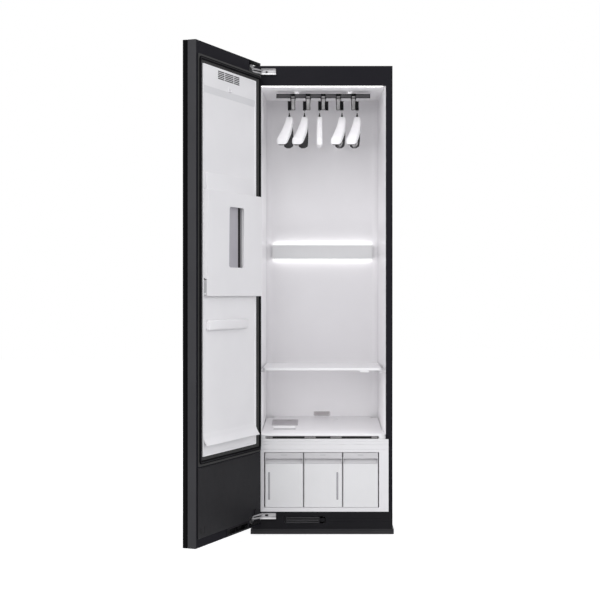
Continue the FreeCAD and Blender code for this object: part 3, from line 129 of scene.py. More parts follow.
def maths(tree: Tree, operation: str, *terms: Socket | float) -> Socket:
    """Work out a sum in a shader tree.

    Args:
        tree: the tree.
        operation: what to do with the terms.
        terms: sockets or plain numbers.

    Returns:
        The result's socket.
    """
    return add_node(tree, "ShaderNodeMath", dict(enumerate(terms)), operation=operation).outputs[0]


def cleared_tree(owner: bpy.types.Material | bpy.types.World) -> Tree:
    """Give a material or a world an empty node tree.

    Args:
        owner: the material or world.

    Returns:
        Its tree.
    """
    owner.use_nodes = True
    owner.node_tree.nodes.clear()
    return owner.node_tree


class NodeGroups:
    """Shared node groups of one kind, each built once."""

    kind: str = "ShaderNodeTree"
    socket_kinds: dict[str, str] = {
        "Vector": "Vector", "Stretch": "Vector", "Start": "Vector", "Step": "Vector", "Size": "Vector",
        "Turn": "Vector", "Colour": "Color", "Second": "Color", "Geometry": "Geometry", "Material": "Material",
        "Head": "Object", "Count": "Int",
    }

    def __init__(self) -> None:
        """Start with no group built."""
        self._built: dict[str, Tree] = {}

    def get(self, name: str) -> Tree:
        """Hand out a group, building it the first time.

        Args:
            name: the group's name, which is its maker's without the underscore.

        Returns:
            The group.
        """
        if name not in self._built:
            self._built[name] = getattr(self, "_" + name)()
        return self._built[name]

    def _socket(self, tree: Tree, title: str, way: str) -> None:
        """Add a socket of the type that goes with its name, or a number.

        Args:
            tree: the group.
            title: the socket's name.
            way: INPUT or OUTPUT.
        """
        kind = "NodeSocket" + self.socket_kinds.get(title, "Float")
        tree.interface.new_socket(name=title, in_out=way, socket_type=kind)

    def _start(self, name: str, *titles: str) -> tuple[Tree, bpy.types.NodeOutputs]:
        """Make a group with its inputs.

        Args:
            name: the group's name.
            titles: the names of its inputs.

        Returns:
            The group, and the sockets that bring its inputs in.
        """
        tree = bpy.data.node_groups.new(name, self.kind)
        for title in titles:
            self._socket(tree, title, "INPUT")
        return tree, add_node(tree, "NodeGroupInput").outputs

    def _end(self, tree: Tree, **results: Socket) -> Tree:
        """Give a group its outputs.

        Args:
            tree: the group.
            results: what drives each output, by the output's name.

        Returns:
            The group.
        """
        for title in results:
            self._socket(tree, title, "OUTPUT")
        add_node(tree, "NodeGroupOutput", results)
        return tree


class ShaderGroups(NodeGroups):
    """The effects that finishes share."""

    noise: str = "ShaderNodeTexNoise"

    def _surface_tone(self) -> Tree:
        """Slow cloud of colour and gloss over a surface."""
        tree, given = self._start("surface_tone", "Vector", "Cloud", "Colour", "Second", "Roughness", "Swing")
        cloud = add_node(tree, self.noise, {"Vector": given["Vector"], "Scale": given["Cloud"], "Detail": 3.0})
        spread = add_node(
            tree, "ShaderNodeMapRange", {"Value": cloud.outputs["Fac"], "From Min": 0.32, "From Max": 0.68}
        )
        ends = {0: spread.outputs["Result"], 6: given["Colour"], 7: given["Second"]}
        blend = add_node(tree, "ShaderNodeMix", ends, data_type="RGBA")
        faster = maths(tree, "MULTIPLY", given["Cloud"], 7.0)
        fine = add_node(tree, self.noise, {"Vector": given["Vector"], "Scale": faster, "Detail": 5.0})
        centred = maths(tree, "SUBTRACT", fine.outputs["Fac"], 0.5)
        gloss = maths(tree, "MULTIPLY_ADD", centred, given["Swing"], given["Roughness"])
        return self._end(tree, Colour=blend.outputs[2], Roughness=gloss)

    def _moulded_grain(self) -> Tree:
        """Fine leather-like pits of a moulded or powder-coated skin."""
        tree, given = self._start("moulded_grain", "Vector", "Scale")
        pits = add_node(
            tree, "ShaderNodeTexVoronoi", {"Vector": given["Vector"], "Scale": given["Scale"]}, feature="SMOOTH_F1"
        )
        coarse = maths(tree, "MULTIPLY", given["Scale"], 0.35)
        wave = add_node(tree, self.noise, {"Vector": given["Vector"], "Scale": coarse, "Detail": 4.0})
        total = maths(tree, "MULTIPLY_ADD", pits.outputs["Distance"], 0.6, wave.outputs["Fac"])
        return self._end(tree, Height=total)

    def _brushed_lines(self) -> Tree:
        """Fine lines along one way, as brushing and grinding leave."""
        tree, given = self._start("brushed_lines", "Vector", "Stretch", "Scale")
        drawn = add_node(
            tree, "ShaderNodeVectorMath", {0: given["Vector"], 1: given["Stretch"]}, operation="MULTIPLY"
        )
        feeds = {"Vector": drawn.outputs[0], "Scale": given["Scale"], "Detail": 6.0, "Roughness": 0.65}
        return self._end(tree, Height=add_node(tree, self.noise, feeds).outputs["Fac"])

    def _woven_cloth(self) -> Tree:
        """Over-and-under threads of a fine mesh or pressing cloth."""
        tree, given = self._start("woven_cloth", "Vector", "Scale")
        feeds = {"Vector": given["Vector"], "Scale": given["Scale"], "Distortion": 0.6, "Detail": 1.0}
        threads = [
            add_node(tree, "ShaderNodeTexWave", feeds, bands_direction=way).outputs["Fac"] for way in ("X", "Z")
        ]
        return self._end(tree, Height=maths(tree, "MULTIPLY", *threads))

    def _settled_dust(self) -> Tree:
        """A broken veil of dust on what faces up."""
        tree, given = self._start("settled_dust", "Vector", "Amount", "Colour")
        split = add_node(tree, "ShaderNodeSeparateXYZ", {0: add_node(tree, "ShaderNodeNewGeometry").outputs["Normal"]})
        upward = add_node(
            tree, "ShaderNodeMapRange", {"Value": split.outputs["Z"], "From Min": 0.6, "From Max": 1.0}
        )
        patches = add_node(tree, self.noise, {"Vector": given["Vector"], "Scale": 35.0, "Detail": 6.0})
        share = maths(tree, "MULTIPLY", upward.outputs["Result"], patches.outputs["Fac"])
        ends = {0: maths(tree, "MULTIPLY", share, given["Amount"]), 6: given["Colour"], 7: (0.42, 0.41, 0.40, 1.0)}
        return self._end(tree, Colour=add_node(tree, "ShaderNodeMix", ends, data_type="RGBA").outputs[2])


class PatternTrees(NodeGroups):
    """The geometry node trees of the repeated details."""

    kind: str = "GeometryNodeTree"
    row_inputs: tuple[str, ...] = ("Count", "Start", "Step", "Turn", "Material")

    def _slat_row(self) -> Tree:
        """A straight row of slats."""
        tree, given = self._start("slat_row", *self.row_inputs, "Size")
        slat = add_node(tree, "GeometryNodeMeshCube", {"Size": given["Size"]})
        return self._row(tree, given, slat.outputs["Mesh"])

    def _head_row(self) -> Tree:
        """A straight row of one small drawn head, such as a screw."""
        tree, given = self._start("head_row", *self.row_inputs, "Head")
        head = add_node(tree, "GeometryNodeObjectInfo", {"Object": given["Head"]})
        return self._row(tree, given, head.outputs["Geometry"])

    def _row(self, tree: Tree, given: bpy.types.NodeOutputs, detail: Socket) -> Tree:
        """Repeat a detail along a line and end in Realize Instances and Set Material.

        Args:
            tree: the tree.
            given: its inputs.
            detail: the detail's geometry.

        Returns:
            The tree.
        """
        line = add_node(
            tree, "GeometryNodeMeshLine",
            {"Count": given["Count"], "Start Location": given["Start"], "Offset": given["Step"]}, mode="OFFSET",
        )
        put = add_node(
            tree, "GeometryNodeInstanceOnPoints",
            {"Points": line.outputs["Mesh"], "Instance": detail, "Rotation": given["Turn"]},
        )
        real = add_node(tree, "GeometryNodeRealizeInstances", {"Geometry": put.outputs["Instances"]})
        paint = add_node(
            tree, "GeometryNodeSetMaterial", {"Geometry": real.outputs["Geometry"], "Material": given["Material"]}
        )
        return self._end(tree, Geometry=paint.outputs["Geometry"])

    def _soft_edges(self) -> Tree:
        """Smooth shading that stops at sharp edges."""
        tree, given = self._start("soft_edges", "Geometry")
        angle = add_node(tree, "GeometryNodeInputMeshEdgeAngle").outputs["Unsigned Angle"]
        under = add_node(
            tree, "FunctionNodeCompare", {0: angle, 1: math.radians(SHARP)}, data_type="FLOAT",
            operation="LESS_EQUAL",
        )
        faces = add_node(tree, "GeometryNodeSetShadeSmooth", {"Geometry": given["Geometry"]})
        edges = add_node(
            tree, "GeometryNodeSetShadeSmooth",
            {"Geometry": faces.outputs["Geometry"], "Shade Smooth": under.outputs["Result"]}, domain="EDGE",
        )
        return self._end(tree, Geometry=edges.outputs["Geometry"])


GROUPS = ShaderGroups()
TREES = PatternTrees()


# ---------------------------------------------------------------- finishes
@dataclass(frozen=True)
class Finish:
    """One surface finish: its colours, gloss and fine relief, and how to build its material."""

    title: str
    colour: Point
    second: Point
    roughness: float = 0.4
    swing: float = 0.08
    cloud: float = 5.0
    metallic: float = 0.0
    specular: float = 0.5
    relief: Relief = Relief.MOULDED
    scale: float = 900.0
    strength: float = 0.12
    depth: float = 0.00008
    stretch: Point = (1.0, 30.0, 30.0)
    dust: float = 0.0

    def material(self) -> bpy.types.Material:
        """Hand out this finish's material, building it the first time.

        Returns:
            The material.
        """
        found = bpy.data.materials.get(self.title)
        if found is not None:
            return found
        made = bpy.data.materials.new(self.title)
        tree = cleared_tree(made)
        place = add_node(tree, "ShaderNodeTexCoord").outputs["Object"]

        def group(name: str, **feeds: object) -> bpy.types.NodeOutputs:
            """Place a shared group in this material and hand back its outputs."""
            return add_node(tree, "ShaderNodeGroup", {"Vector": place} | feeds, node_tree=GROUPS.get(name)).outputs

        tone = group(
            "surface_tone", Cloud=self.cloud, Colour=(*self.colour, 1.0), Second=(*self.second, 1.0),
            Roughness=self.roughness, Swing=self.swing,
        )
        colour = tone["Colour"]
        if self.dust > 0:
            colour = group("settled_dust", Amount=self.dust, Colour=colour)["Colour"]
        grain = {"Stretch": self.stretch} if self.relief is Relief.BRUSHED else {}
        height = group(self.relief.value, Scale=self.scale, **grain)["Height"]
        bumps = {"Strength": self.strength, "Distance": self.depth, "Height": height}
        normal = add_node(tree, "ShaderNodeBump", bumps).outputs["Normal"]
        feeds = {"Base Color": colour, "Roughness": tone["Roughness"], "Normal": normal} | self._settings()
        shader = add_node(tree, "ShaderNodeBsdfPrincipled", feeds)
        add_node(tree, "ShaderNodeOutputMaterial", {"Surface": shader.outputs[0]})
        average = [(a + b) / 2 for a, b in zip(self.colour, self.second)]
        made.diffuse_color = (*average, 1.0)
        made.roughness = self.roughness
        made.metallic = self.metallic
        return made

    def _settings(self) -> dict[str, object]:
        """Say what is the same all over the surface, by the shader's inputs."""
        return {"Metallic": self.metallic, "Specular IOR Level": self.specular}


@dataclass(frozen=True)
class ClearFinish(Finish):
    """A clear moulded plastic."""

    transmission: float = 0.35

    def _settings(self) -> dict[str, object]:
        """Add the plastic's transmission to the plain settings."""
        return super()._settings() | {"Transmission Weight": self.transmission, "IOR": 1.49}


@dataclass(frozen=True)
class GlowFinish(Finish):
    """A lamp's milky cover that gives light."""

    glow: float = 2.4

    def _settings(self) -> dict[str, object]:
        """Add the lamp's light to the plain settings."""
        return super()._settings() | {"Emission Color": (1.0, 0.99, 0.97, 1.0), "Emission Strength": self.glow}


class Palette:
    """Every finish of the cabinet, and the record slots that they stand for."""

    _ENAMEL = {"scale": 1400.0, "strength": 0.10, "dust": 0.015}
    _WHITE = {"specular": 0.4, "scale": 800.0, "strength": 0.06}
    _METAL = {"metallic": 1.0, "relief": Relief.BRUSHED}
    _SEAL = {"specular": 0.03, "scale": 1600.0}
    _CLOTH = {"specular": 0.2, "relief": Relief.WOVEN, "scale": 330.0, "strength": 0.35, "depth": 0.0002}

    SHELL = Finish("shell_enamel", (0.0062, 0.0057, 0.0090), (0.0080, 0.0075, 0.0110), 0.46, 0.06, 3.0,
                   specular=0.10, **_ENAMEL)
    PAN = Finish("door_pan_enamel", (0.0052, 0.0048, 0.0080), (0.0066, 0.0062, 0.0096), 0.62, 0.06, 3.0,
                 specular=0.05, **_ENAMEL)
    # painted light: the door's end face is made lighter than the pan to stand for the light it catches
    EDGE = Finish("door_edge_painted_light", (0.036, 0.0355, 0.039), (0.045, 0.0445, 0.048), 0.44, 0.05, 4.0,
                  specular=0.12, scale=1400.0, strength=0.08)
    FRONT = Finish("front_panel_gloss", (0.0016, 0.0016, 0.0020), (0.0024, 0.0024, 0.0028), 0.20, 0.04, 2.0,
                   specular=0.05, scale=180.0, strength=0.03)
    BASE = Finish("base_strip_grey", (0.026, 0.0255, 0.028), (0.032, 0.0315, 0.034), 0.45, 0.08, 6.0,
                  specular=0.14, scale=1100.0)
    KICK = Finish("kick_moulding", (0.0080, 0.0076, 0.0094), (0.0108, 0.0103, 0.0124), 0.5, 0.08, 6.0,
                  specular=0.09, scale=1000.0, strength=0.18)
    LOUVRE = Finish("intake_louvre_moulding", (0.050, 0.0485, 0.053), (0.064, 0.062, 0.067), 0.42, 0.08, 6.0,
                    specular=0.3, scale=1000.0)
    LINER = Finish("liner_white_moulding", (0.80, 0.789, 0.805), (0.84, 0.829, 0.843), 0.36, 0.10, 3.0, **_WHITE)
    WALL = Finish("chamber_white_moulding", (0.885, 0.874, 0.890), (0.905, 0.895, 0.908), 0.36, 0.10, 3.0, **_WHITE)
    BACK = Finish("back_white_moulding", (0.735, 0.722, 0.740), (0.765, 0.753, 0.770), 0.36, 0.10, 3.0, **_WHITE)
    CEILING = Finish("ceiling_matt_moulding", (0.895, 0.885, 0.900), (0.915, 0.905, 0.918), 0.75, 0.05, 3.0,
                     specular=0.12, scale=800.0, strength=0.02)
    TANK = Finish("tank_white_moulding", (0.79, 0.785, 0.795), (0.82, 0.815, 0.825), 0.33, 0.08, 6.0,
                  specular=0.4, strength=0.06)
    HANDLE = Finish("tank_handle_grey", (0.60, 0.59, 0.605), (0.64, 0.63, 0.645), 0.38, 0.08, 8.0,
                    specular=0.35, scale=1000.0, strength=0.08)
    BAY = Finish("bay_grey_moulding", (0.40, 0.40, 0.41), (0.45, 0.45, 0.46), 0.5, 0.08, 6.0, scale=700.0)
    BAR = Finish("bar_cover_grey", (0.67, 0.67, 0.68), (0.71, 0.71, 0.715), 0.40, 0.06, 5.0,
                 specular=0.4, strength=0.06)
    PIVOT = Finish("press_pivot_grey", (0.46, 0.46, 0.47), (0.52, 0.52, 0.53), 0.42, 0.08, 12.0)
    GLOW = GlowFinish("lamp_cover_glow", (0.9, 0.9, 0.9), (0.92, 0.92, 0.92), 0.5)
    GROUND = Finish("ground_steel", (0.42, 0.42, 0.43), (0.52, 0.52, 0.53), 0.30, 0.14, 30.0, **_METAL,
                    scale=45.0, strength=0.2)
    MOTOR = Finish("motor_case_zinc", (0.36, 0.36, 0.37), (0.44, 0.44, 0.45), 0.42, 0.16, 14.0, metallic=0.9,
                   scale=600.0, strength=0.2)
    CRANK = Finish("crank_steel", (0.35, 0.34, 0.33), (0.46, 0.45, 0.44), 0.32, 0.14, 24.0, **_METAL,
                   scale=50.0, strength=0.2)
    RAIL = Finish("rail_anodised", (0.034, 0.033, 0.036), (0.046, 0.045, 0.048), 0.38, 0.10, 8.0, metallic=0.3,
                  specular=0.25, relief=Relief.BRUSHED, scale=55.0)
    CHROME = Finish("arm_bright_metal", (0.10, 0.098, 0.10), (0.16, 0.157, 0.16), 0.34, 0.12, 40.0, **_METAL,
                    scale=40.0, stretch=(30.0, 30.0, 1.0))
    # painted shade: the arms' sides are dark so that the bright front strip reads as the highlight of a rounded bar
    ARM_SIDE = Finish("arm_side_painted_shade", (0.010, 0.010, 0.011), (0.018, 0.018, 0.019), 0.40, 0.10, 30.0,
                      metallic=0.2, specular=0.3)
    HINGE = Finish("hinge_plated_steel", (0.26, 0.255, 0.265), (0.36, 0.355, 0.365), 0.36, 0.12, 40.0, **_METAL,
                   scale=45.0)
    FLANGE = Finish("hinge_bright_flange", (0.50, 0.495, 0.505), (0.62, 0.615, 0.625), 0.30, 0.10, 40.0,
                    **_METAL, scale=45.0, strength=0.1)
    # painted shade: the door's hinge leaves are darker than their plated metal, standing for the shade in the door's
    # notches
    LEAF_SHADE = Finish("hinge_leaf_painted_shade", (0.020, 0.020, 0.022), (0.040, 0.040, 0.042), 0.40, 0.12, 30.0,
                  metallic=0.7)
    CLIP = Finish("clip_grey_metal", (0.03, 0.029, 0.03), (0.36, 0.352, 0.36), 0.34, 0.10, 40.0, metallic=0.8,
                  relief=Relief.BRUSHED, scale=40.0)
    CUP = Finish("cup_black_moulding", (0.0030, 0.0030, 0.0037), (0.0055, 0.0055, 0.0062), 0.52, 0.1, 20.0,
                 specular=0.05, scale=1200.0)
    SCREEN = Finish("filter_lilac_moulding", (0.44, 0.42, 0.44), (0.50, 0.48, 0.50), 0.5, 0.1, 14.0, strength=0.15)
    GRILLE = Finish("rear_grille_grey", (0.56, 0.53, 0.54), (0.62, 0.59, 0.60), 0.45, 0.1, 14.0)
    CAN = Finish("compressor_paint", (0.010, 0.010, 0.010), (0.018, 0.018, 0.018), 0.35, 0.12, 10.0,
                 scale=500.0, strength=0.25, dust=0.1)
    COIL = Finish("coil_aluminium", (0.55, 0.55, 0.56), (0.68, 0.68, 0.69), 0.34, 0.14, 22.0, **_METAL,
                  scale=60.0, strength=0.3)
    DUCT = Finish("duct_grey_moulding", (0.085, 0.087, 0.092), (0.11, 0.112, 0.117), 0.5, 0.1, 9.0,
                  scale=700.0, strength=0.2)
    BOILER = Finish("boiler_cast_steel", (0.40, 0.40, 0.41), (0.52, 0.52, 0.53), 0.38, 0.16, 16.0, metallic=0.95,
                    scale=380.0, strength=0.3)
    SLIT = ClearFinish("slit_smoked_clear", (0.54, 0.53, 0.56), (0.60, 0.59, 0.62), 0.18, 0.05, 10.0,
                       scale=300.0, strength=0.04)
    HANGER = Finish("hanger_white_moulding", (0.80, 0.785, 0.805), (0.84, 0.83, 0.845), 0.34, 0.08, 20.0,
                    specular=0.4, scale=1000.0, strength=0.05)
    INSERT = Finish("hanger_insert_dark", (0.018, 0.017, 0.019), (0.028, 0.027, 0.029), 0.5, 0.1, 25.0,
                    specular=0.25, scale=1100.0, strength=0.25)
    WIRE = Finish("hook_wire_steel", (0.55, 0.55, 0.56), (0.66, 0.66, 0.67), 0.28, 0.12, 50.0, **_METAL,
                  scale=70.0, strength=0.1)
    RUBBER = Finish("seal_rubber", (0.0016, 0.0015, 0.0022), (0.0030, 0.0028, 0.0036), 0.72, 0.1, 12.0,
                    **_SEAL, strength=0.2)
    RUBBER_LIP = Finish("seal_bead_grey", (0.0024, 0.0022, 0.0032), (0.0044, 0.0041, 0.0052), 0.70, 0.1, 12.0,
                        **_SEAL, strength=0.15)
    # painted highlight: the ridge is lighter than the rubber to stand for the light along the seal's bead
    RIDGE_HIGHLIGHT = Finish("seal_ridge_painted_highlight", (0.014, 0.0135, 0.0155), (0.022, 0.021, 0.024), 0.60, 0.1, 12.0,
                   specular=0.08, scale=1600.0, strength=0.1)
    PAD = Finish("press_pad_cloth", (0.40, 0.385, 0.42), (0.46, 0.445, 0.48), 0.75, 0.08, 9.0, **_CLOTH)
    PAD_DARK = Finish("press_pad_dark_cloth", (0.21, 0.205, 0.215), (0.26, 0.255, 0.265), 0.75, 0.08, 9.0, **_CLOTH)
    # painted shade: a greyer white for the shade band under the liner's head
    STEP_SHADE = Finish("liner_step_painted_shade", (0.70, 0.695, 0.71), (0.74, 0.735, 0.75), 0.40, 0.08, 3.0,
                  specular=0.3, scale=800.0, strength=0.06)
    # painted highlight: a brighter white for the light along the liner rim's rounded edge
    RIM_HIGHLIGHT = Finish("liner_rim_painted_highlight", (0.92, 0.915, 0.93), (0.95, 0.945, 0.955), 0.28, 0.06, 3.0,
                 scale=800.0, strength=0.04)
    # painted shade: a greyer matt white that dims the finger dip
    DIP_SHADE = Finish("dip_painted_shade", (0.60, 0.59, 0.605), (0.64, 0.63, 0.645), 0.85, 0.05, 8.0,
                  specular=0.04, strength=0.1)
    CREASE = Finish("press_crease_black", (0.008, 0.008, 0.009), (0.014, 0.014, 0.015), 0.5, 0.1, 9.0, specular=0.2)

    BY_SLOT: dict[str, Finish] = {
        "shell_black": SHELL, "base_grey": BASE, "kick_black": KICK, "liner_white": LINER, "bay_grey": BAY,
        "bar_grey": BAR, "lamp_glow": GLOW, "ground_steel": GROUND, "motor_grey": MOTOR, "crank_steel": CRANK,
        "rail_metal": RAIL, "arm_chrome": CHROME, "cup_black": CUP, "filter_dark": SCREEN, "can_black": CAN,
        "coil_metal": COIL, "duct_grey": DUCT, "boiler_steel": BOILER, "tank_white": TANK,
        "handle_grey": HANDLE, "slit_clear": SLIT, "hanger_white": HANGER, "hanger_dark": INSERT,
        "front_gloss": FRONT, "seal_rubber": RUBBER, "pad_dark": PAD,
    }


# ---------------------------------------------------------------- drawing helpers
def metres(values: Point) -> Point:
    """Turn millimetres into metres."""
    return tuple(value * MM for value in values)


def rounded(left: float, right: float, low: float, high: float, radius: float, steps: int = 5) -> list[Point]:
    """Points of a rectangle with rounded corners, anticlockwise from the lower right.

    Args:
        left: least first coordinate, in mm.
        right: greatest first coordinate.
        low: least second coordinate.
        high: greatest second coordinate.
        radius: corner radius.
        steps: divisions of each corner.

    Returns:
        The outline's points.
    """
    radius = max(min(radius, (right - left) / 2 - 0.01, (high - low) / 2 - 0.01), 0.01)
    points = []
    for a, b, start in (
        (right - radius, low + radius, -90), (right - radius, high - radius, 0),
        (left + radius, high - radius, 90), (left + radius, low + radius, 180),
    ):
        for step in range(steps + 1):
            turn = math.radians(start + 90 * step / steps)
            points.append((a + radius * math.cos(turn), b + radius * math.sin(turn)))
    return points


def around(centre: Point, reach: Point, radius: float, steps: int = 5) -> list[Point]:
    """A rounded rectangle by its middle.

    Args:
        centre: its middle, in mm.
        reach: half its width and half its height.
        radius: corner radius.
        steps: divisions of each corner.

    Returns:
        The outline's points.
    """
    (a, b), (wide, tall) = centre, reach
    return rounded(a - wide, a + wide, b - tall, b + tall, radius, steps)


def circle(radius: float, sides: int, centre: Point = (0.0, 0.0), tall: float = 1.0) -> list[Point]:
    """Points of a circle or an oval.

    Args:
        radius: its radius, in mm.
        sides: how many points it has.
        centre: its middle.
        tall: how much higher than wide it is.

    Returns:
        The outline's points.
    """
    turns = [2 * math.pi * n / sides for n in range(sides)]
    return [(centre[0] + radius * math.cos(turn), centre[1] + tall * radius * math.sin(turn)) for turn in turns]


def level(outline: Iterable[Point], place: float, axis: int = 1) -> list[Point]:
    """Put a flat outline at a place along an axis.

    Args:
        outline: its points, by their coordinates along the other two axes.
        place: the place, in mm.
        axis: 0, 1 or 2 for X, Y or Z.

    Returns:
        The points.
    """
    return [(*point[:axis], place, *point[axis:]) for point in outline]


def ring(box: Box, out: float, radius: float, place: float, axis: int = 1) -> list[Point]:
    """A rounded outline round a box, at a place along an axis.

    Args:
        box: its left, right, low and high sides, in mm.
        out: how far outside those sides it runs.
        radius: corner radius.
        place: the place, such as its height over the door's inner face.
        axis: 0, 1 or 2 for X, Y or Z.

    Returns:
        The outline's points.
    """
    left, right, low, high = box
    return level(rounded(left - out, right + out, low - out, high + out, radius), place, axis)


def settle_mesh(mesh: Mesh, place: Matrix | None, sharp: float) -> Mesh:
    """Merge a mesh's doubles, point its faces outwards and set its shading.

    Args:
        mesh: the mesh.
        place: a transform to put into it, or None.
        sharp: edges that turn by more than this many degrees stay sharp.

    Returns:
        The same mesh.
    """
    if place is not None:
        mesh.transform(place)
    work = bmesh.new()
    work.from_mesh(mesh)
    bmesh.ops.remove_doubles(work, verts=work.verts, dist=2e-6)
    bmesh.ops.recalc_face_normals(work, faces=work.faces)
    for face in work.faces:
        face.smooth = True
    for edge in work.edges:
        edge.smooth = len(edge.link_faces) == 2 and edge.calc_face_angle(0.0) < math.radians(sharp)
    work.to_mesh(mesh)
    work.free()
    mesh.update()
    return mesh


def new_object(name: str, data: bpy.types.ID) -> Piece:
    """Put a new object into the scene.

    Args:
        name: its name.
        data: its mesh, lamp or camera.

    Returns:
        The object.
    """
    made = bpy.data.objects.new(name, data)
    bpy.context.scene.collection.objects.link(made)
    return made


def add_modifier(piece: Piece, name: str, kind: str, **settings: object) -> None:
    """Add a modifier to a piece.

    Args:
        piece: the piece.
        name: the modifier's name.
        kind: its type.
        settings: its options by name.
    """
    modifier = piece.modifiers.new(name, kind)
    for option, value in settings.items():
        setattr(modifier, option, value)


def add_edge_bevel(piece: Piece, width: float) -> None:
    """Round a piece's sharp edges a little, as moulding and folding do.

    Args:
        piece: the piece.
        width: bevel width, in mm.
    """
    add_modifier(
        piece, "edge", "BEVEL", limit_method="ANGLE", angle_limit=math.radians(SHARP), width=width * MM,
        segments=2, use_clamp_overlap=True, miter_outer="MITER_ARC", harden_normals=True,
    )


def add_piece(
    name: str, mesh: Mesh, body: Body, finish: Finish, slot: str, replaces: Sequence[str] = (), bevel: float = 0.0
) -> None:
    """Put a finished mesh into the scene on its body.

    Args:
        name: the piece's name.
        mesh: its mesh, in metres, in place.
        body: the body that it rides on.
        finish: its finish.
        slot: the record's slot for that finish; not used.
        replaces: the CAD nodes that it stands for.
        bevel: the width of a small edge bevel in mm, or 0 for none.
    """
    piece = new_object(name, mesh)
    mesh.materials.clear()
    mesh.materials.append(finish.material())
    if bevel > 0:
        add_edge_bevel(piece, bevel)
    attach(piece, body.value)
    if replaces:
        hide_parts(*replaces)
    LOG.info("%s: %d faces on %s", name, len(mesh.polygons), body.value)


@dataclass
class DoorPlace:
    """Where the door's pieces go: drawn on the shut door, then turned open about the hinge pin.

    A place on the door is (s, n, z): s from its free edge, n towards the cabinet from its inner face, z up.
    """

    width: float = 600.0
    gap: float = 8.0

    def matrix(self) -> Matrix:
        """The transform from door places to the open door.

        Returns:
            The transform, in metres.
        """
        swing = next(joint for joint in frame["joints"] if joint["name"] == "door_swing")
        pin = Vector(swing["pos_m"])
        opened = math.radians(min(swing["range_deg"]))
        shut = Matrix(((-1, 0, 0, self.width / 2 * MM), (0, 1, 0, -self.gap * MM), (0, 0, 1, 0), (0, 0, 0, 1)))
        return Matrix.Translation(pin) @ Matrix.Rotation(opened, 4, "Z") @ Matrix.Translation(-pin) @ shut


class Form:
    """A mesh that is being drawn, in millimetres."""

    def __init__(self) -> None:
        """Start empty."""
        self.points: list[Vector] = []
        self.faces: list[list[int]] = []

    def loop(self, points: Iterable[Point]) -> list[int]:
        """Add points and hand back their numbers.

        Args:
            points: the points, in mm.

        Returns:
            Their numbers in the mesh.
        """
        start = len(self.points)
        self.points.extend(Vector(point) for point in points)
        return list(range(start, len(self.points)))

    def bridge(self, first: list[int], second: list[int], closed: bool = True) -> None:
        """Join two runs of points with a band of quads.

        Args:
            first: one run.
            second: the other run, as long.
            closed: whether the runs are rings.
        """
        count = len(first)
        for place in range(count if closed else count - 1):
            after = (place + 1) % count
            self.faces.append([first[place], first[after], second[after], second[place]])

    def loft(self, loops: Sequence[Iterable[Point]], endless: bool = False) -> "Form":
        """Run a skin through closed outlines.

        Args:
            loops: the outlines, each with as many points.
            endless: whether the last outline joins the first, instead of both being filled.

        Returns:
            The form itself.
        """
        rings = [self.loop(points) for points in loops]
        for first, second in zip(rings, rings[1:]):
            self.bridge(first, second)
        if endless:
            self.bridge(rings[-1], rings[0])
        else:
            self.faces += [rings[0][::-1], rings[-1]]
        return self

    def slab(self, outline: Sequence[Point], places: Sequence[float], axis: int = 1) -> "Form":
        """Run a flat outline straight along an axis.

        Args:
            outline: its points, by their coordinates along the other two axes.
            places: where it starts and ends.
            axis: 0, 1 or 2 for X, Y or Z.

        Returns:
            The form itself.
        """
        return self.loft([level(outline, place, axis) for place in places])

    def tube(self, path: Sequence[Vector], radius: float, sides: int, tip: float | None = None) -> None:
        """Sweep a round section along a path.

        Args:
            path: the centreline's points, in mm.
            radius: the section's radius.
            sides: how many points the section has.
            tip: the radius at the last point, where it differs.
        """
        rings = []
        across = None
        for place, point in enumerate(path):
            before, after = path[max(place - 1, 0)], path[min(place + 1, len(path) - 1)]
            along = (after - before).normalized()
            if across is None:
                seed = Vector((1, 0, 0)) if abs(along.x) < 0.9 else Vector((0, 1, 0))
                across = along.cross(seed).normalized()
            across = (across - along * across.dot(along)).normalized()
            other = along.cross(across)
            size = tip if tip is not None and place == len(path) - 1 else radius
            rings.append([point + across * a + other * b for a, b in circle(size, sides)])
        self.loft(rings)

    def mesh(self, name: str, place: Matrix | None = None, sharp: float = SHARP) -> Mesh:
        """Turn the drawing into a mesh in metres.

        Args:
            name: the mesh's name.
            place: a transform to put into it, in metres, or None.
            sharp: edges that turn by more than this many degrees stay sharp.

        Returns:
            The mesh.
        """
        mesh = bpy.data.meshes.new(name)
        mesh.from_pydata([point * MM for point in self.points], [], self.faces)
        return settle_mesh(mesh, place, sharp)

    def piece(
        self, name: str, body: Body, *dress: object, place: Matrix | None = None, sharp: float = SHARP,
        **extra: object,
    ) -> None:
        """Turn the drawing into a piece of the scene; what rides on the door is drawn on the shut door.

        Args:
            name: the piece's name.
            body: the body that it rides on.
            dress: what add_piece takes after the body.
            place: a transform to put into it, in metres, or None.
            sharp: edges that turn by more than this many degrees stay sharp.
            extra: what add_piece takes by name.
        """
        if body is Body.DOOR:
            place = DoorPlace().matrix()
        add_piece(name, self.mesh(name, place, sharp), body, *dress, **extra)


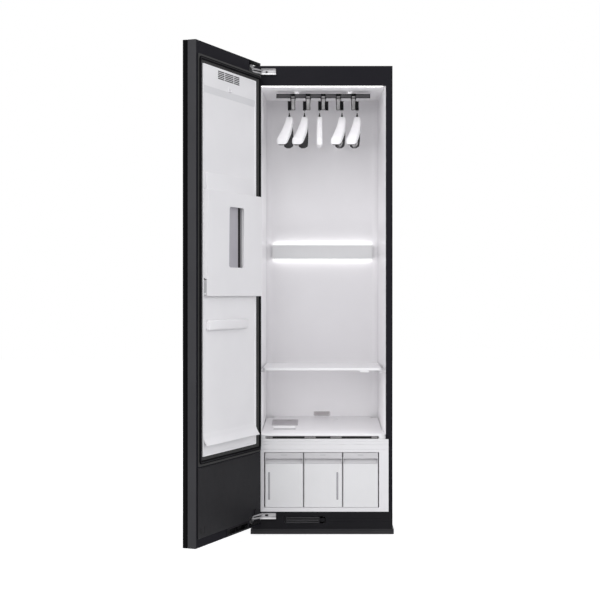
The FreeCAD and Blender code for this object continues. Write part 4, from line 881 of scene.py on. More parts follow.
def grown_rows(
    name: str,
    rows: Sequence[tuple[int, Point, Point]],
    detail: Piece | Point,
    finish: Finish,
    turn: Point = (0.0, 0.0, 0.0),
    place: Matrix | None = None,
) -> Mesh:
    """Grow rows of one detail with its node tree and keep them as one plain mesh.

    Args:
        name: the mesh's name.
        rows: count, first place and step of each row, in mm.
        detail: a drawn head, or a slat's size along X, Y and Z in mm.
        finish: the finish that the tree sets.
        turn: the detail's own turn about X, Y and Z, in degrees.
        place: a transform for all the rows, or None.

    Returns:
        The mesh, in metres.
    """
    drawn = isinstance(detail, Piece)
    tree = TREES.get("head_row" if drawn else "slat_row")
    values = {"Turn": tuple(math.radians(value) for value in turn), "Material": finish.material()}
    values |= {"Head": detail} if drawn else {"Size": metres(detail)}
    seed = new_object(name + "_seed", bpy.data.meshes.new(name + "_seed"))
    work = bmesh.new()
    for count, start, step in rows:
        values |= {"Count": count, "Start": metres(start), "Step": metres(step)}
        grower = seed.modifiers.new("pattern", "NODES")
        grower.node_group = tree
        for item in tree.interface.items_tree:
            if item.item_type == "SOCKET" and item.in_out == "INPUT":
                grower[item.identifier] = values[item.name]
        mesh = bpy.data.meshes.new_from_object(seed.evaluated_get(bpy.context.evaluated_depsgraph_get()))
        work.from_mesh(mesh)
        bpy.data.meshes.remove(mesh)
        seed.modifiers.clear()
    bpy.data.objects.remove(seed)
    grown = bpy.data.meshes.new(name)
    work.to_mesh(grown)
    work.free()
    return settle_mesh(grown, place, SHARP)


# ---------------------------------------------------------------- studio
@dataclass(frozen=True)
class Softbox:
    """One soft light: where it hangs and what it faces in metres, its width, power and own height."""

    name: str
    place: Point
    aim: Point
    width: float
    watts: float
    height: float | None = None

    def hang(self) -> None:
        """Put the light into the scene, square where it has no own height."""
        data = bpy.data.lights.new(self.name, "AREA")
        data.size = self.width
        data.energy = self.watts
        if self.height is not None:
            data.shape = "RECTANGLE"
            data.size_y = self.height
        lamp = new_object(self.name, data)
        lamp.location = self.place
        lamp.rotation_euler = (Vector(self.aim) - Vector(self.place)).to_track_quat("-Z", "Y").to_euler()
        lamp.visible_camera = False


@dataclass
class Studio:
    """Camera, pale floor and soft lights."""

    distance: float = 5.8
    eye_height: float = 1.008
    lens: float = 83.1
    shift: tuple[float, float] = (-0.037, -0.0113)
    floor_size: float = 30.0
    ambient: float = 0.85
    softboxes: tuple[Softbox, ...] = (
        Softbox("front_softbox", (-1.6, -4.6, 2.6), (0.0, 0.0, 1.0), 3.2, 78.0),
        Softbox("right_softbox", (3.4, -3.2, 2.2), (0.0, 0.2, 1.0), 2.4, 34.0),
        Softbox("left_softbox", (-4.2, -0.6, 2.0), (-0.3, 0.0, 1.0), 2.4, 20.0),
        Softbox("back_softbox", (1.0, 4.4, 2.8), (0.0, 0.5, 1.0), 2.6, 30.0),
        Softbox("upper_chamber_fill", (0.0, 0.03, 1.29), (0.0, 1.0, 1.29), 0.50, 0.29, 1.10),
        Softbox("lower_chamber_fill", (0.0, 0.03, 0.545), (0.0, 1.0, 0.34), 0.50, 0.35, 0.24),
        Softbox("ceiling_fill", (0.0, 0.24, 1.30), (0.0, 0.25, 2.0), 0.46, 0.15, 0.30),
        Softbox("header_glow", (0.0, 0.035, 1.868), (0.0, 0.30, 1.80), 0.46, 0.10, 0.016),
        Softbox("bar_glow_up", (0.001, 0.456, 1.2275), (0.001, 0.463, 1.2475), 0.44, 0.045, 0.012),
        Softbox("bar_glow_down", (0.001, 0.456, 1.1615), (0.001, 0.463, 1.1415), 0.44, 0.045, 0.012),
    )

    def build(self) -> None:
        """Make the camera, the world, the floor and the lamps."""
        self._camera()
        self._world()
        self._floor()
        for softbox in self.softboxes:
            softbox.hang()
        bpy.context.scene.view_settings.view_transform = "Standard"

    def _camera(self) -> None:
        """Set the camera square on, a little right of the door."""
        data = bpy.data.cameras.new("camera")
        data.lens = self.lens
        data.shift_x, data.shift_y = self.shift
        data.clip_end = 100.0
        camera = new_object("camera", data)
        camera.location = (0.0, -self.distance, self.eye_height)
        camera.rotation_euler = (math.radians(90), 0.0, 0.0)
        bpy.context.scene.camera = camera

    @staticmethod
    def _seen_directly(tree: Tree) -> Socket:
        """A mask of camera, glossy and transmission rays.

        Args:
            tree: the node tree to make it in.

        Returns:
            The mask's socket.
        """
        path = add_node(tree, "ShaderNodeLightPath").outputs
        seen = maths(tree, "MAXIMUM", path["Is Camera Ray"], path["Is Glossy Ray"])
        return maths(tree, "MAXIMUM", seen, path["Is Transmission Ray"])

    def _world(self) -> None:
        """White where it is seen, gentler where it lights."""
        world = bpy.data.worlds.new("studio_world")
        bpy.context.scene.world = world
        tree = cleared_tree(world)
        lights = add_node(tree, "ShaderNodeBackground", {"Color": (0.97, 0.98, 1.0, 1.0), "Strength": self.ambient})
        white = add_node(tree, "ShaderNodeBackground", {"Color": (1.0, 1.0, 1.0, 1.0)})
        ends = {0: self._seen_directly(tree), 1: lights.outputs[0], 2: white.outputs[0]}
        mix = add_node(tree, "ShaderNodeMixShader", ends)
        add_node(tree, "ShaderNodeOutputWorld", {"Surface": mix.outputs[0]})

    def _floor(self) -> None:
        """A plain pale floor that keeps a soft shadow."""
        half = self.floor_size / 2
        mesh = bpy.data.meshes.new("floor")
        mesh.from_pydata([(-half, -half, 0), (half, -half, 0), (half, half, 0), (-half, half, 0)], [], [(0, 1, 2, 3)])
        floor = new_object("floor", mesh)
        floor.location.z = -0.0005
        paint = bpy.data.materials.new("floor_paint")
        tree = cleared_tree(paint)
        matt = add_node(tree, "ShaderNodeBsdfDiffuse", {"Color": (0.55, 0.55, 0.555, 1.0)})
        glow = {"Color": (0.70, 0.70, 0.70, 1.0), "Strength": self._seen_directly(tree)}
        shine = add_node(tree, "ShaderNodeEmission", glow)
        both = add_node(tree, "ShaderNodeAddShader", {0: matt.outputs[0], 1: shine.outputs[0]})
        add_node(tree, "ShaderNodeOutputMaterial", {"Surface": both.outputs[0]})
        mesh.materials.append(paint)


# ---------------------------------------------------------------- carried-over nodes
@dataclass
class CadDress:
    """Finishes and edge softening for the CAD nodes that stay."""

    usual_width: float = 0.4
    edge_widths: ClassVar[dict[str, float]] = {
        "liner_walls": 1.2, "liner_back": 0.6, "lower_frame": 0.8, "door_liner": 0.7, "press_panel": 0.8,
        "shelf": 0.9, "light_bar": 0.8, "hanger_arms": 0.7, "hook_cups": 0.7, "hanger_rail": 0.8,
        "supply_tank": 1.0, "drain_tank": 1.0, "spare_tank": 1.0, "base_pan": 0.8, "kick_panel": 0.6,
    }
    # hanger_arms take a dark finish that paints the shade on the arms' sides beside their highlight strips
    # hinge_leaves take a dark steel that paints the shade in the door's notches
    own_finish: ClassVar[dict[str, Finish]] = {
        "press_pivots": Palette.PIVOT, "hanger_arms": Palette.ARM_SIDE, "hinge_leaves": Palette.LEAF_SHADE,
        "door_pan": Palette.PAN, "liner_walls": Palette.WALL, "liner_back": Palette.BACK,
        "shelf": Palette.WALL, "liner_ceiling": Palette.CEILING,
    }
    hidden: tuple[str, ...] = (
        "compressor", "heat_exchangers", "fan_housing", "fan_wheel", "fan_motor", "steam_generator",
    )

    def build(self) -> None:
        """Dress every node that nothing replaces."""
        for name, node in sorted(frame["nodes"].items()):
            if node.hide_render:
                continue
            finish = self.own_finish.get(name, Palette.BY_SLOT[node.data.materials[0].name])
            for place in node.material_slots:
                place.material = finish.material()
            self._soften(name, node)
            LOG.info("%s: dressed in %s", name, finish.title)

    def _soften(self, name: str, node: Piece) -> None:
        """Weld a node's triangles, round its edges a little and smooth what is curved.

        Args:
            name: the node's name.
            node: its object.
        """
        add_modifier(node, "weld", "WELD", merge_threshold=5e-6)
        add_modifier(node, "flatten", "DECIMATE", decimate_type="DISSOLVE", angle_limit=math.radians(0.6))
        if name not in self.hidden:
            add_edge_bevel(node, self.edge_widths.get(name, self.usual_width))
        add_modifier(node, "soft_edges", "NODES", node_group=TREES.get("soft_edges"))
        add_modifier(node, "weighted", "WEIGHTED_NORMAL", keep_sharp=True)


# ---------------------------------------------------------------- hangers and their drive
@dataclass
class HangerSet:
    """Five wide-shouldered hangers: arched shell, dark insert, ferrule and round hook; clips on the last two."""

    rail_x: float = 4.5
    rail_y: float = 190.0
    arm_pitch: float = 65.4
    sides: tuple[int, ...] = (-1, -1, -1, 1, 1)
    hook_offset: float = 15.8
    half_length: float = 165.0
    neck_top: float = 1772.0
    drop: float = 102.0
    sweep: float = 20.0
    lean: float = 11.5
    curl: float = 2.2
    pitch: float = 3.7
    peg_height: float = 1812.0
    wall: float = 2.5
    slim_number: int = 2
    wire: float = 1.5
    loop_radius: float = 12.0
    loop_height: float = 1807.0
    collar: float = 5.0
    clip_along: float = -0.70
    arch_power: float = 0.72
    sharp: float = 50.0
    stations: tuple[float, ...] = (
        0.0, 0.05, 0.11, 0.18, 0.26, 0.35, 0.45, 0.55, 0.65, 0.75, 0.85, 0.93, 0.955, 0.975, 0.99, 0.997, 1.0,
    )
    finger: tuple[tuple[float, float, float, float], ...] = (
        (-8.0, 2.4, 4.5, 3.0), (-16.0, 3.2, 9.5, 4.4), (-25.0, 3.6, 11.5, 4.2), (-33.0, 3.4, 9.0, 3.0),
        (-40.0, 2.8, 5.5, 2.0), (-45.0, 2.0, 3.0, 1.2), (-47.0, 1.2, 2.2, 0.9),
    )

    def build(self) -> None:
        """Build the five hangers from the left."""
        for number in range(len(self.sides)):
            self._hanger(number)

    def arm_x(self, number: int) -> float:
        """X of an arm of the rail in mm, numbered from 0 at the left."""
        return self.rail_x + (number - (len(self.sides) - 1) / 2) * self.arm_pitch

    def _placement(self, number: int) -> Matrix:
        """Where a hanger drawn on the rail's line goes.

        Args:
            number: the hanger, from 0.

        Returns:
            The transform, in metres.
        """
        shift = Vector((self.arm_x(number) + self.sides[number] * self.hook_offset, self.rail_y, 0)) * MM
        peg = Matrix.Translation(Vector((0, 0, self.peg_height * MM)))
        dip = peg @ Matrix.Rotation(math.radians(self.pitch), 4, "X") @ peg.inverted()
        return Matrix.Translation(shift) @ dip

    def _sideways(self, along: float) -> float:
        """How far a broad hanger's middle line has swept to one side, in mm.

        Args:
            along: the place along the hanger.

        Returns:
            The offset across the hanger.
        """
        return -(self.sweep - math.copysign(self.lean, along)) * abs(along) ** self.curl

    def _outline(
        self, along: float, slim: bool, grow: float = 0.0, below: float = 0.0, closed: bool = False
    ) -> list[Point]:
        """The arched outline of the hanger at a place along it.

        Args:
            along: from -1 at the front tip, through 0 at the neck, to 1 at the far tip.
            slim: whether this is the slim hanger.
            grow: how much smaller than the outer skin it is, in mm.
            below: how much deeper its lower edge sits, in mm.
            closed: whether the lower edge is closed by a hollowed floor.

        Returns:
            The outline's points, from one lower edge over the arch to the other.
        """
        share = abs(along)
        rounding = 0.985 if slim else 0.92
        close = 1.0
        if share > rounding:
            close = math.sqrt(max(1 - ((share - rounding) / (1 - rounding)) ** 2, 0.0)) * 0.985 + 0.015
        width = (22.0 + 2 * share if slim else 28.0 + 18.0 * share ** 0.9) - 2 * grow
        width *= 0.45 + 0.55 * close
        depth = 34.0 - 10.0 * share
        height = depth * (0.5 + 0.5 * close)
        bottom = self.neck_top - self.drop * share ** 1.25 - depth - below
        top = bottom + below + height - grow
        arch = min(width * 0.34, height * 0.6)
        half = width / 2
        section = [(-half * 0.985, bottom)]
        for step in range(15):
            turn = math.pi * (1 - step / 14)
            across = math.copysign(abs(math.cos(turn)) ** self.arch_power, math.cos(turn))
            section.append((across * half, top - arch + abs(math.sin(turn)) ** self.arch_power * arch))
        section.append((half * 0.985, bottom))
        if closed:
            section += [(width * 0.30, bottom - 3.4 * share), (-width * 0.30, bottom - 3.4 * share)]
        middle = 0.0 if slim else self._sideways(along)
        return level([(middle + a, z) for a, z in section], (self.half_length - grow) * along)

    def _hanger(self, number: int) -> None:
        """Build one hanger.

        Args:
            number: the hanger, from 0.
        """
        slim = number == self.slim_number
        name = f"hanger_{number + 1}"
        body = Body(name)
        place = self._placement(number)
        places = [-along for along in reversed(self.stations[1:])] + list(self.stations)
        shell = Form()
        skins = [[shell.loop(self._outline(along, slim, grow)) for along in places] for grow in (0.0, self.wall)]
        for rings in skins:
            for first, second in zip(rings, rings[1:]):
                shell.bridge(first, second, closed=False)
            shell.faces += [rings[0], rings[-1]]
        outer, inner = skins
        for end in (0, -1):
            shell.bridge([row[end] for row in outer], [row[end] for row in inner], closed=False)
            shell.faces.append([outer[end][0], outer[end][-1], inner[end][-1], inner[end][0]])
        shell.piece(
            f"{name}_moulded_shell", body, Palette.HANGER, "hanger_white", [f"{name}_shell"], place=place,
            sharp=self.sharp,
        )
        insert = Form().loft([self._outline(along, slim, 1.1, 0.7, True) for along in places])
        finish = Palette.HANGER if slim else Palette.INSERT
        insert.piece(f"{name}_insert", body, finish, "hanger_dark", [f"{name}_core"], place=place, sharp=self.sharp)
        self._hook(name, body, place)
        if number > self.slim_number:
            self._clip(name, body, place)

    def _hook(self, name: str, body: Body, place: Matrix) -> None:
        """Bend a hanger's wire hook and turn its ferrule.

        Args:
            name: the hanger's name.
            body: its body.
            place: where it goes.
        """
        heights = (self.neck_top - 6, self.loop_height - self.loop_radius - 2)
        path = [Vector((0, 0, height)) for height in heights]
        for step in range(1, 31):
            turn = math.radians(250.0 * step / 30)
            bend = (math.sin(turn) * self.loop_radius, self.loop_height - math.cos(turn) * self.loop_radius)
            path.append(Vector((0, *bend)))
        path.append(path[-1] + (path[-1] - path[-2]) * 0.4)
        wire = Form()
        wire.tube(path, self.wire, 12, self.wire * 0.55)
        wire.piece(f"{name}_hook_wire", body, Palette.WIRE, "ground_steel", place=place)
        steps = (
            (self.collar, -4.0), (self.collar, 0.4), (self.collar * 0.9, 1.6), (self.collar * 0.72, 5.0),
            (self.collar * 0.5, 9.0), (self.wire + 0.6, 14.0), (self.wire + 0.3, 15.4), (self.wire, 15.8),
        )
        cone = Form().loft([level(circle(radius, 20), self.neck_top + rise, 2) for radius, rise in steps])
        cone.piece(f"{name}_ferrule", body, Palette.INSERT, "hanger_dark", place=place)

    def _clip(self, name: str, body: Body, place: Matrix) -> None:
        """Hang a spring clip for skirts under the front wing.

        Args:
            name: the hanger's name.
            body: its body.
            place: where it goes.
        """
        y = self.clip_along * self.half_length
        x = self._sideways(self.clip_along) + 1.0
        top = min(point[2] for point in self._outline(self.clip_along, False))
        clip, pads = Form(), Form()
        for side in (-1, 1):
            for number in (-1, 0, 1):
                loops = []
                for drop, half, spread, gap in self.finger:
                    left, right = x + number * spread - half, x + number * spread + half
                    near, far = y + side * gap, y + side * (gap + 1.6)
                    loops.append(level([(left, near), (right, near), (right, far), (left, far)], top + drop, 2))
                clip.loft(loops)
            pads.slab(around((x, top - 25), (15, 13), 11.0), (y + side * 0.5, y + side * 2.4))
        coil = [
            Vector((x - 14 + n / 2, y + 4.5 * math.cos(0.9 * n), top - 24 + 4.5 * math.sin(0.9 * n)))
            for n in range(57)
        ]
        clip.tube(coil, 1.1, 8)
        clip.tube([Vector((x, y, top + 5 - 3 * n)) for n in range(9)], 2.0, 10)
        pads.piece(f"{name}_clip_pads", body, Palette.INSERT, "hanger_dark", place=place)
        clip.piece(f"{name}_clip", body, Palette.CLIP, "arm_chrome", bevel=0.3, place=place)


@dataclass
class HangerDrive:
    """Details of the shaking rail: bright strips down the arms that paint their highlight, caps, collars and shields
    over the ceiling slots.
    """

    hangers: HangerSet
    rail_bottom: float = 1852.0
    rail_top: float = 1869.0
    rail_half_length: float = 202.5
    rail_half_depth: float = 12.0
    arm_bottom: float = 1800.0
    arm_half_depth: float = 6.0
    strip_half_width: float = 7.2
    strip_top: float = 1858.0
    strip_thickness: float = 1.4
    collar_half: float = 10.5
    carrier_spread: float = 115.0
    ceiling: float = 1880.0

    def build(self) -> None:
        """Add the strips, the shields, the end caps and a collar over each arm."""
        arms = [self.hangers.arm_x(number) for number in range(len(self.hangers.sides))]
        self._arm_strips(arms)
        self._shields()
        left, right = (self.hangers.rail_x + side * self.rail_half_length for side in (-1, 1))
        sleeves = [(left, left + 3, 0.4), (right - 3, right, 0.4)]
        sleeves += [(x - self.collar_half, x + self.collar_half, 0.7) for x in arms]
        centre = (self.hangers.rail_y, (self.rail_bottom + self.rail_top) / 2)
        caps = Form()
        for start, end, proud in sleeves:
            reach = (self.rail_half_depth + proud, (self.rail_top - self.rail_bottom) / 2 + proud)
            caps.slab(around(centre, reach, 3.2), (start, end), 0)
        caps.piece("rail_end_caps", Body.RAIL, Palette.CUP, "cup_black", bevel=0.4)

    def _arm_strips(self, arms: Sequence[float]) -> None:
        """Lay a bright strip down each arm's front, bent out over the rail's front face, as a painted highlight against
        the arm's dark sides.

        Args:
            arms: X of each arm, in mm.
        """
        inner, outer = self.hangers.rail_y - self.arm_half_depth, self.hangers.rail_y - self.rail_half_depth
        low, bend, thick = self.arm_bottom + 0.6, self.rail_bottom - 5, self.strip_thickness
        profile = [
            (inner, low), (inner - thick, low), (inner - thick, bend), (outer - thick, self.rail_bottom + 1),
            (outer - thick, self.strip_top), (outer, self.strip_top), (outer, self.rail_bottom + 0.6),
            (inner, bend + 0.4),
        ]
        strips = Form()
        for x in arms:
            strips.slab(profile, (x - self.strip_half_width, x + self.strip_half_width), 0)
        # painted highlight: the bright strips stand for the light on the arms' rounded fronts
        strips.piece("arm_bright_strips", Body.RAIL, Palette.CHROME, "arm_chrome", bevel=0.6)

    def _shields(self) -> None:
        """Put a white sleeve with a flat shield round each carrier, close under the ceiling."""
        levels = (
            (10.8, 7.8, self.rail_top + 0.1), (10.8, 7.8, self.ceiling - 3.0), (14.0, 10.0, self.ceiling - 1.4),
            (41.0, 15.0, self.ceiling - 1.2), (41.0, 15.0, self.ceiling - 0.4),
        )
        shields = Form()
        for side in (-1, 1):
            centre = (self.hangers.rail_x + side * self.carrier_spread, self.hangers.rail_y)
            shields.loft([level(around(centre, (wide, deep), 4.0), z, 2) for wide, deep, z in levels])
        shields.piece("carrier_shields", Body.RAIL, Palette.CEILING, "liner_white", bevel=0.4)


# ---------------------------------------------------------------- chamber
@dataclass
class ChamberVents:
    """The air strip under the tray's lip and the small grille low on the back wall."""

    strip: Box = (-242.0, 242.0, 397.6, 410.0)
    strip_front: float = 15.4
    slot: Box = (-238.6, 238.6, 397.7, 408.4)
    lip_front: float = 11.9
    rib_groups: tuple[tuple[float, float], ...] = ((-236.0, -207.0), (-72.0, -30.0), (37.0, 79.0), (209.0, 234.0))
    rib_pitch: float = 4.2
    grille: Box = (-37.5, 35.5, 454.0, 473.0)
    wall_y: float = 470.0

    def build(self) -> None:
        """Add the strip with its ribs, and the grille with its slats."""
        front, lip = self.strip_front, self.lip_front
        left, right, low, high = self.slot
        outline = rounded(*self.strip, 2.0)
        inner = rounded(left + 0.8, right - 0.8, low + 0.6, high - 0.6, 1.5)
        tray = Form().loft([
            level(outline, front + 3.4), level(outline, front), ring(self.slot, 0.0, 2.0, lip), level(inner, lip),
            level(inner, front + 2.2),
        ])
        tray.piece("air_strip_tray", Body.CABINET, Palette.RUBBER, "kick_black", ["air_grilles"])
        low, high = self.strip[2:]
        rows = [
            (int((right - left) / self.rib_pitch) + 1, (left, front + 1.3, (low + high) / 2), (self.rib_pitch, 0, 0))
            for left, right in self.rib_groups
        ]
        ribs = grown_rows("air_strip_ribs", rows, (1.9, 2.2, high - low - 2.0), Palette.GRILLE)
        add_piece("air_strip_ribs", ribs, Body.CABINET, Palette.GRILLE, "kick_black", bevel=0.25)
        self._grille()

    def _grille(self) -> None:
        """Build the small grille: a rounded rim round its slats."""
        left, right, low, high = self.grille
        front = self.wall_y - 1.2
        inner = rounded(left + 3, right - 3, low + 2.6, high - 2.6, 2.5)
        rim = Form().loft([
            ring(self.grille, 0.0, 4.5, self.wall_y + 4.0), ring(self.grille, 0.0, 4.5, front + 0.5),
            level(inner, front), level(inner, front + 3.6),
        ])
        rim.piece("rear_grille_rim", Body.CABINET, Palette.GRILLE, "bar_grey", bevel=0.3)
        rows = [(4, ((right + left) / 2, front + 1.4, low + 4.4), (0, 0, 3.5))]
        slats = grown_rows("rear_grille_slats", rows, (right - left - 6.4, 2.4, 1.5), Palette.GRILLE, (24, 0, 0))
        add_piece("rear_grille_slats", slats, Body.CABINET, Palette.GRILLE, "bar_grey", bevel=0.2)


@dataclass
class LintFilter:
    """The lift-out lint filter on the slope of the floor, and a greyer sheet in the finger dip before it that paints
    the dip's shade.
    """

    left: float = -217.0
    right: float = -112.0
    front: float = 289.0
    back: float = 387.0
    floor_front: float = 415.0
    floor_back: float = 452.0
    slope_start: float = 205.0
    chamber_depth: float = 470.0
    bar_count: int = 15

    def build(self) -> None:
        """Add the rim, the screen, the bars and the dip's sheet of painted shade."""
        slope = math.atan2(self.floor_back - self.floor_front, self.chamber_depth - self.slope_start)
        middle = (self.front + self.back) / 2
        rise = math.tan(slope) * (middle - self.slope_start)
        place = Matrix.Translation(Vector((0, middle, self.floor_front + rise)) * MM) @ Matrix.Rotation(slope, 4, "X")
        half = (self.back - self.front) / 2
        box = (self.left, self.right, -half, half)
        sections = (
            (4.6, 3.5, 0.5), (4.6, 3.5, 2.2), (3.6, 3.0, 3.0), (-4.5, 2.5, 3.0), (-4.5, 2.5, -18.0),
            (-1.0, 2.0, -20.0), (-1.0, 2.0, 0.5),
        )
        rim = Form().loft([ring(box, *section, 2) for section in sections], endless=True)
        rim.piece("filter_rim", Body.FILTER, Palette.SCREEN, "filter_dark", ["lint_filter"], place=place)
        cloth = Form().loft([ring(box, -4.5, 2.5, height, 2) for height in (0.9, 1.6)])
        cloth.piece("filter_screen", Body.FILTER, Palette.SCREEN, "filter_dark", place=place)
        pitch = (self.right - self.left - 10) / (self.bar_count + 1)
        rows = [(self.bar_count, (self.left + 5 + pitch, 0, 1.0), (pitch, 0, 0))]
        bars = grown_rows("filter_bars", rows, (1.7, 2 * half - 9, 3.2), Palette.SCREEN, place=place)
        add_piece("filter_bars", bars, Body.FILTER, Palette.SCREEN, "filter_dark", bevel=0.3)
        # painted shade: a greyer sheet laid in the finger dip
        outline = rounded(self.left + 4.5, self.right - 4.5, self.slope_start + 8, self.front - 10, 5.0)
        dip_shade_sheet = Form().slab(outline, (self.floor_front + 0.35, self.floor_front + 0.9), 2)
        dip_shade_sheet.piece("filter_dip_mat", Body.CABINET, Palette.DIP_SHADE, "liner_white")


# ---------------------------------------------------------------- door
@dataclass
class DoorSeal:
    """The seal, a broad rubber frame with a hollow bead, and what borders the door's liner."""

    frame_box: Box = (17.0, 596.0, 354.0, 1911.0)
    liner_box: Box = (50.0, 536.0, 390.0, 1878.0)
    bead_box: Box = (31.0, 583.0, 369.0, 1897.0)
    bead_half: tuple[tuple[float, float], ...] = (
        (7.0, 2.6), (7.0, 3.8), (6.2, 4.4), (5.6, 5.4), (5.9, 6.3), (5.0, 7.1), (2.0, 7.4),
    )
    band_half: float = 1.4
    vent_spans: tuple[tuple[float, float], ...] = ((179.6, 236.4), (242.6, 319.4), (325.6, 374.4))
    vent_low: float = 1836.5
    vent_pitch: float = 6.9
    vent_height: float = 4.2

    def build(self) -> None:
        """Add the frame, the bead and its ridge with a painted highlight, the liner's rim with a painted highlight, its
        step with painted shade, and the vents' dark inlays that paint the shade inside them.
        """
        sections = (
            (self.frame_box, 0.0, 6.0, 0.2), (self.frame_box, 0.0, 6.0, 2.2), (self.frame_box, -1.2, 5.0, 3.0),
            (self.liner_box, 1.6, 3.0, 3.0), (self.liner_box, 0.0, 2.0, 1.8), (self.liner_box, 0.0, 2.0, 0.2),
        )
        base = Form().loft([ring(*section) for section in sections], endless=True)
        base.piece("seal_frame", Body.DOOR, Palette.RUBBER, "seal_rubber", ["door_gasket"])
        profile = [(-out, n) for out, n in self.bead_half] + list(reversed(self.bead_half))
        bead = Form().loft([ring(self.bead_box, out, 9.0 + out, n) for out, n in profile], endless=True)
        bead.piece("seal_bead", Body.DOOR, Palette.RUBBER_LIP, "seal_rubber")
        left, right, low, high = self.liner_box
        rim, half = (left + 1.5, right - 1.5, low + 1.5, high - 1.5), self.band_half
        for name, box, foot, top, finish, slot in (
            # painted highlight along the seal's ridge
            ("seal_ridge", self.bead_box, 7.2, 7.8, Palette.RIDGE_HIGHLIGHT, "seal_rubber"),
            # painted highlight along the liner's rim
            ("liner_rim_bead", rim, 6.4, 7.5, Palette.RIM_HIGHLIGHT, "liner_white"),
        ):
            profile = ((-half, foot), (-half * 0.6, top), (half * 0.6, top), (half, foot))
            band = Form().loft([ring(box, out, 4.0 + out, n) for out, n in profile], endless=True)
            band.piece(name, Body.DOOR, finish, slot)
        # painted shade: a greyer sheet over the step's slope
        slope = ((3.05, 1770.5), (3.4, 1770.5), (6.8, 1796.5), (6.45, 1796.5))
        Form().slab(slope, (left + 6.5, right - 6.5), 0).piece("liner_step", Body.DOOR, Palette.STEP_SHADE, "liner_white")
        # painted shade: dark plates in the vent slots stand for the shade inside them
        inlays = Form()
        for start, end in self.vent_spans:
            for row in range(5):
                low = self.vent_low + self.vent_pitch * row
                inlays.slab(rounded(start, end, low, low + self.vent_height, 0.9, 3), (5.6, 6.6))
        inlays.piece("door_vent_backing", Body.DOOR, Palette.CREASE, "shell_black")


@dataclass
class TrouserPress:
    """The press: raised bed, hem bar, hollowed pad, its dark half and its crease strip."""

    liner_face: float = 3.2
    bed: Box = (79.0, 487.0, 1010.0, 1470.0)
    bar: Box = (81.0, 436.0, 866.0, 906.0)
    bar_proud: float = 20.0
    pad: Box = (234.0, 393.0, 1093.0, 1362.0)
    pad_columns: int = 28
    crease: tuple[float, float] = (350.0, 357.0)
    crease_proud: float = 18.4

    def build(self) -> None:
        """Add the bed, the bar, the pad and the crease strip."""
        sections = ((0.0, 10.0, self.liner_face), (0.0, 10.0, 7.2), (-0.8, 9.0, 8.6), (-2.4, 8.0, 9.0))
        bed = Form().loft([ring(self.bed, *section) for section in sections])
        bed.piece("press_bed", Body.DOOR, Palette.LINER, "liner_white", ["press_base"])
        left, right, low, high = self.bar
        middle, half, foot = (low + high) / 2, (high - low) / 2, self.liner_face
        loops = []
        for s, share in ((left, 0.82), (left + 2.5, 0.95), (left + 6.0, 1.0), (right - 6.0, 1.0), (right, 0.9)):
            top, tall = foot + (self.bar_proud - foot) * share, half * share
            loops.append(level(rounded(foot, top, middle - tall, middle + tall, 8.5, 8), s, 0))
        Form().loft(loops).piece("hem_bar", Body.DOOR, Palette.LINER, "liner_white")
        self._pad()

    def _pad(self) -> None:
        """Build the pad, whose face is hollowed a little on each side of the crease strip."""
        left, right, low, high = self.pad
        rows = []
        for step in range(self.pad_columns + 1):
            s = left + (right - left) * step / self.pad_columns
            reach = abs(s - sum(self.crease) / 2) / ((right - left) / 2)
            face = 12.4 - 1.6 * math.sin(min(reach, 1.0) * math.pi)
            rows.append(level([(9.1, low), (face, low), (face, high), (9.1, high)], s, 0))
        Form().loft(rows).piece("press_pad_cloth", Body.DOOR, Palette.PAD, "pad_dark", ["press_pad"])
        strip = Form().slab(rounded(*self.crease, low + 8, high - 8, 2.5), (11.0, self.crease_proud))
        strip.piece("press_crease_strip", Body.DOOR, Palette.CREASE, "pad_dark", bevel=0.4)
        shade = Form().slab(rounded(self.crease[1], right - 1.0, low + 1.0, high - 1.0, 2.0), (11.6, 13.2))
        shade.piece("press_pad_dark_half", Body.DOOR, Palette.PAD_DARK, "pad_dark", bevel=0.4)


@dataclass
class DoorTrim:
    """A lighter edge profile along the door's free side, which paints the light that the door's end face catches."""

    low: float = 50.0
    high: float = 1960.0
    depth: float = 34.0

    def build(self) -> None:
        """Add the edge profile."""
        far = -self.depth + 0.6
        outline = [
            (-0.5, far), (-0.5, -3.4), (-0.2, -1.2), (0.9, -0.1), (3.2, 0.35), (3.2, 0.05), (1.2, -0.5),
            (0.15, -1.6), (0.05, -3.2), (0.05, far),
        ]
        edge = Form().slab(outline, (self.low + 0.4, self.high - 0.4), 2)
        edge.piece("door_edge_profile", Body.DOOR, Palette.EDGE, "shell_black")


# ---------------------------------------------------------------- tank lids
@dataclass
class TankTrim:
    """A smooth fillet under each lid's grip strip and a short bar set into the strip."""

    spans: tuple[tuple[Body, float, float, float], ...] = (
        (Body.SUPPLY, -240.0, -80.5, -160.0), (Body.DRAIN, -76.5, 83.3, 3.0), (Body.SPARE, 87.3, 234.5, 161.0),
    )
    cheek: float = 3.1
    bar_height: float = 330.0
    bar_reach: tuple[float, float] = (12.0, 1.7)
    section: tuple[tuple[float, float], ...] = (
        (21.4, 310.9), (18.6, 312.2), (14.0, 313.8), (9.0, 314.9), (4.0, 315.35), (4.0, 317.0), (12.0, 318.0),
        (20.0, 317.8), (24.0, 315.0), (24.0, 311.6),
    )

    def build(self) -> None:
        """Add the fillet and the bar to each lid."""
        for body, left, right, middle in self.spans:
            title = body.value.replace("unit", "grip_")
            fillet = Form().slab(self.section, (left + self.cheek, right - self.cheek), 0)
            fillet.piece(title + "fillet", body, Palette.TANK, "tank_white")
            bar = Form().slab(around((middle, self.bar_height), self.bar_reach, 1.7), (2.4, 1.7))
            bar.piece(title + "bar", body, Palette.PIVOT, "tank_white", bevel=0.2)


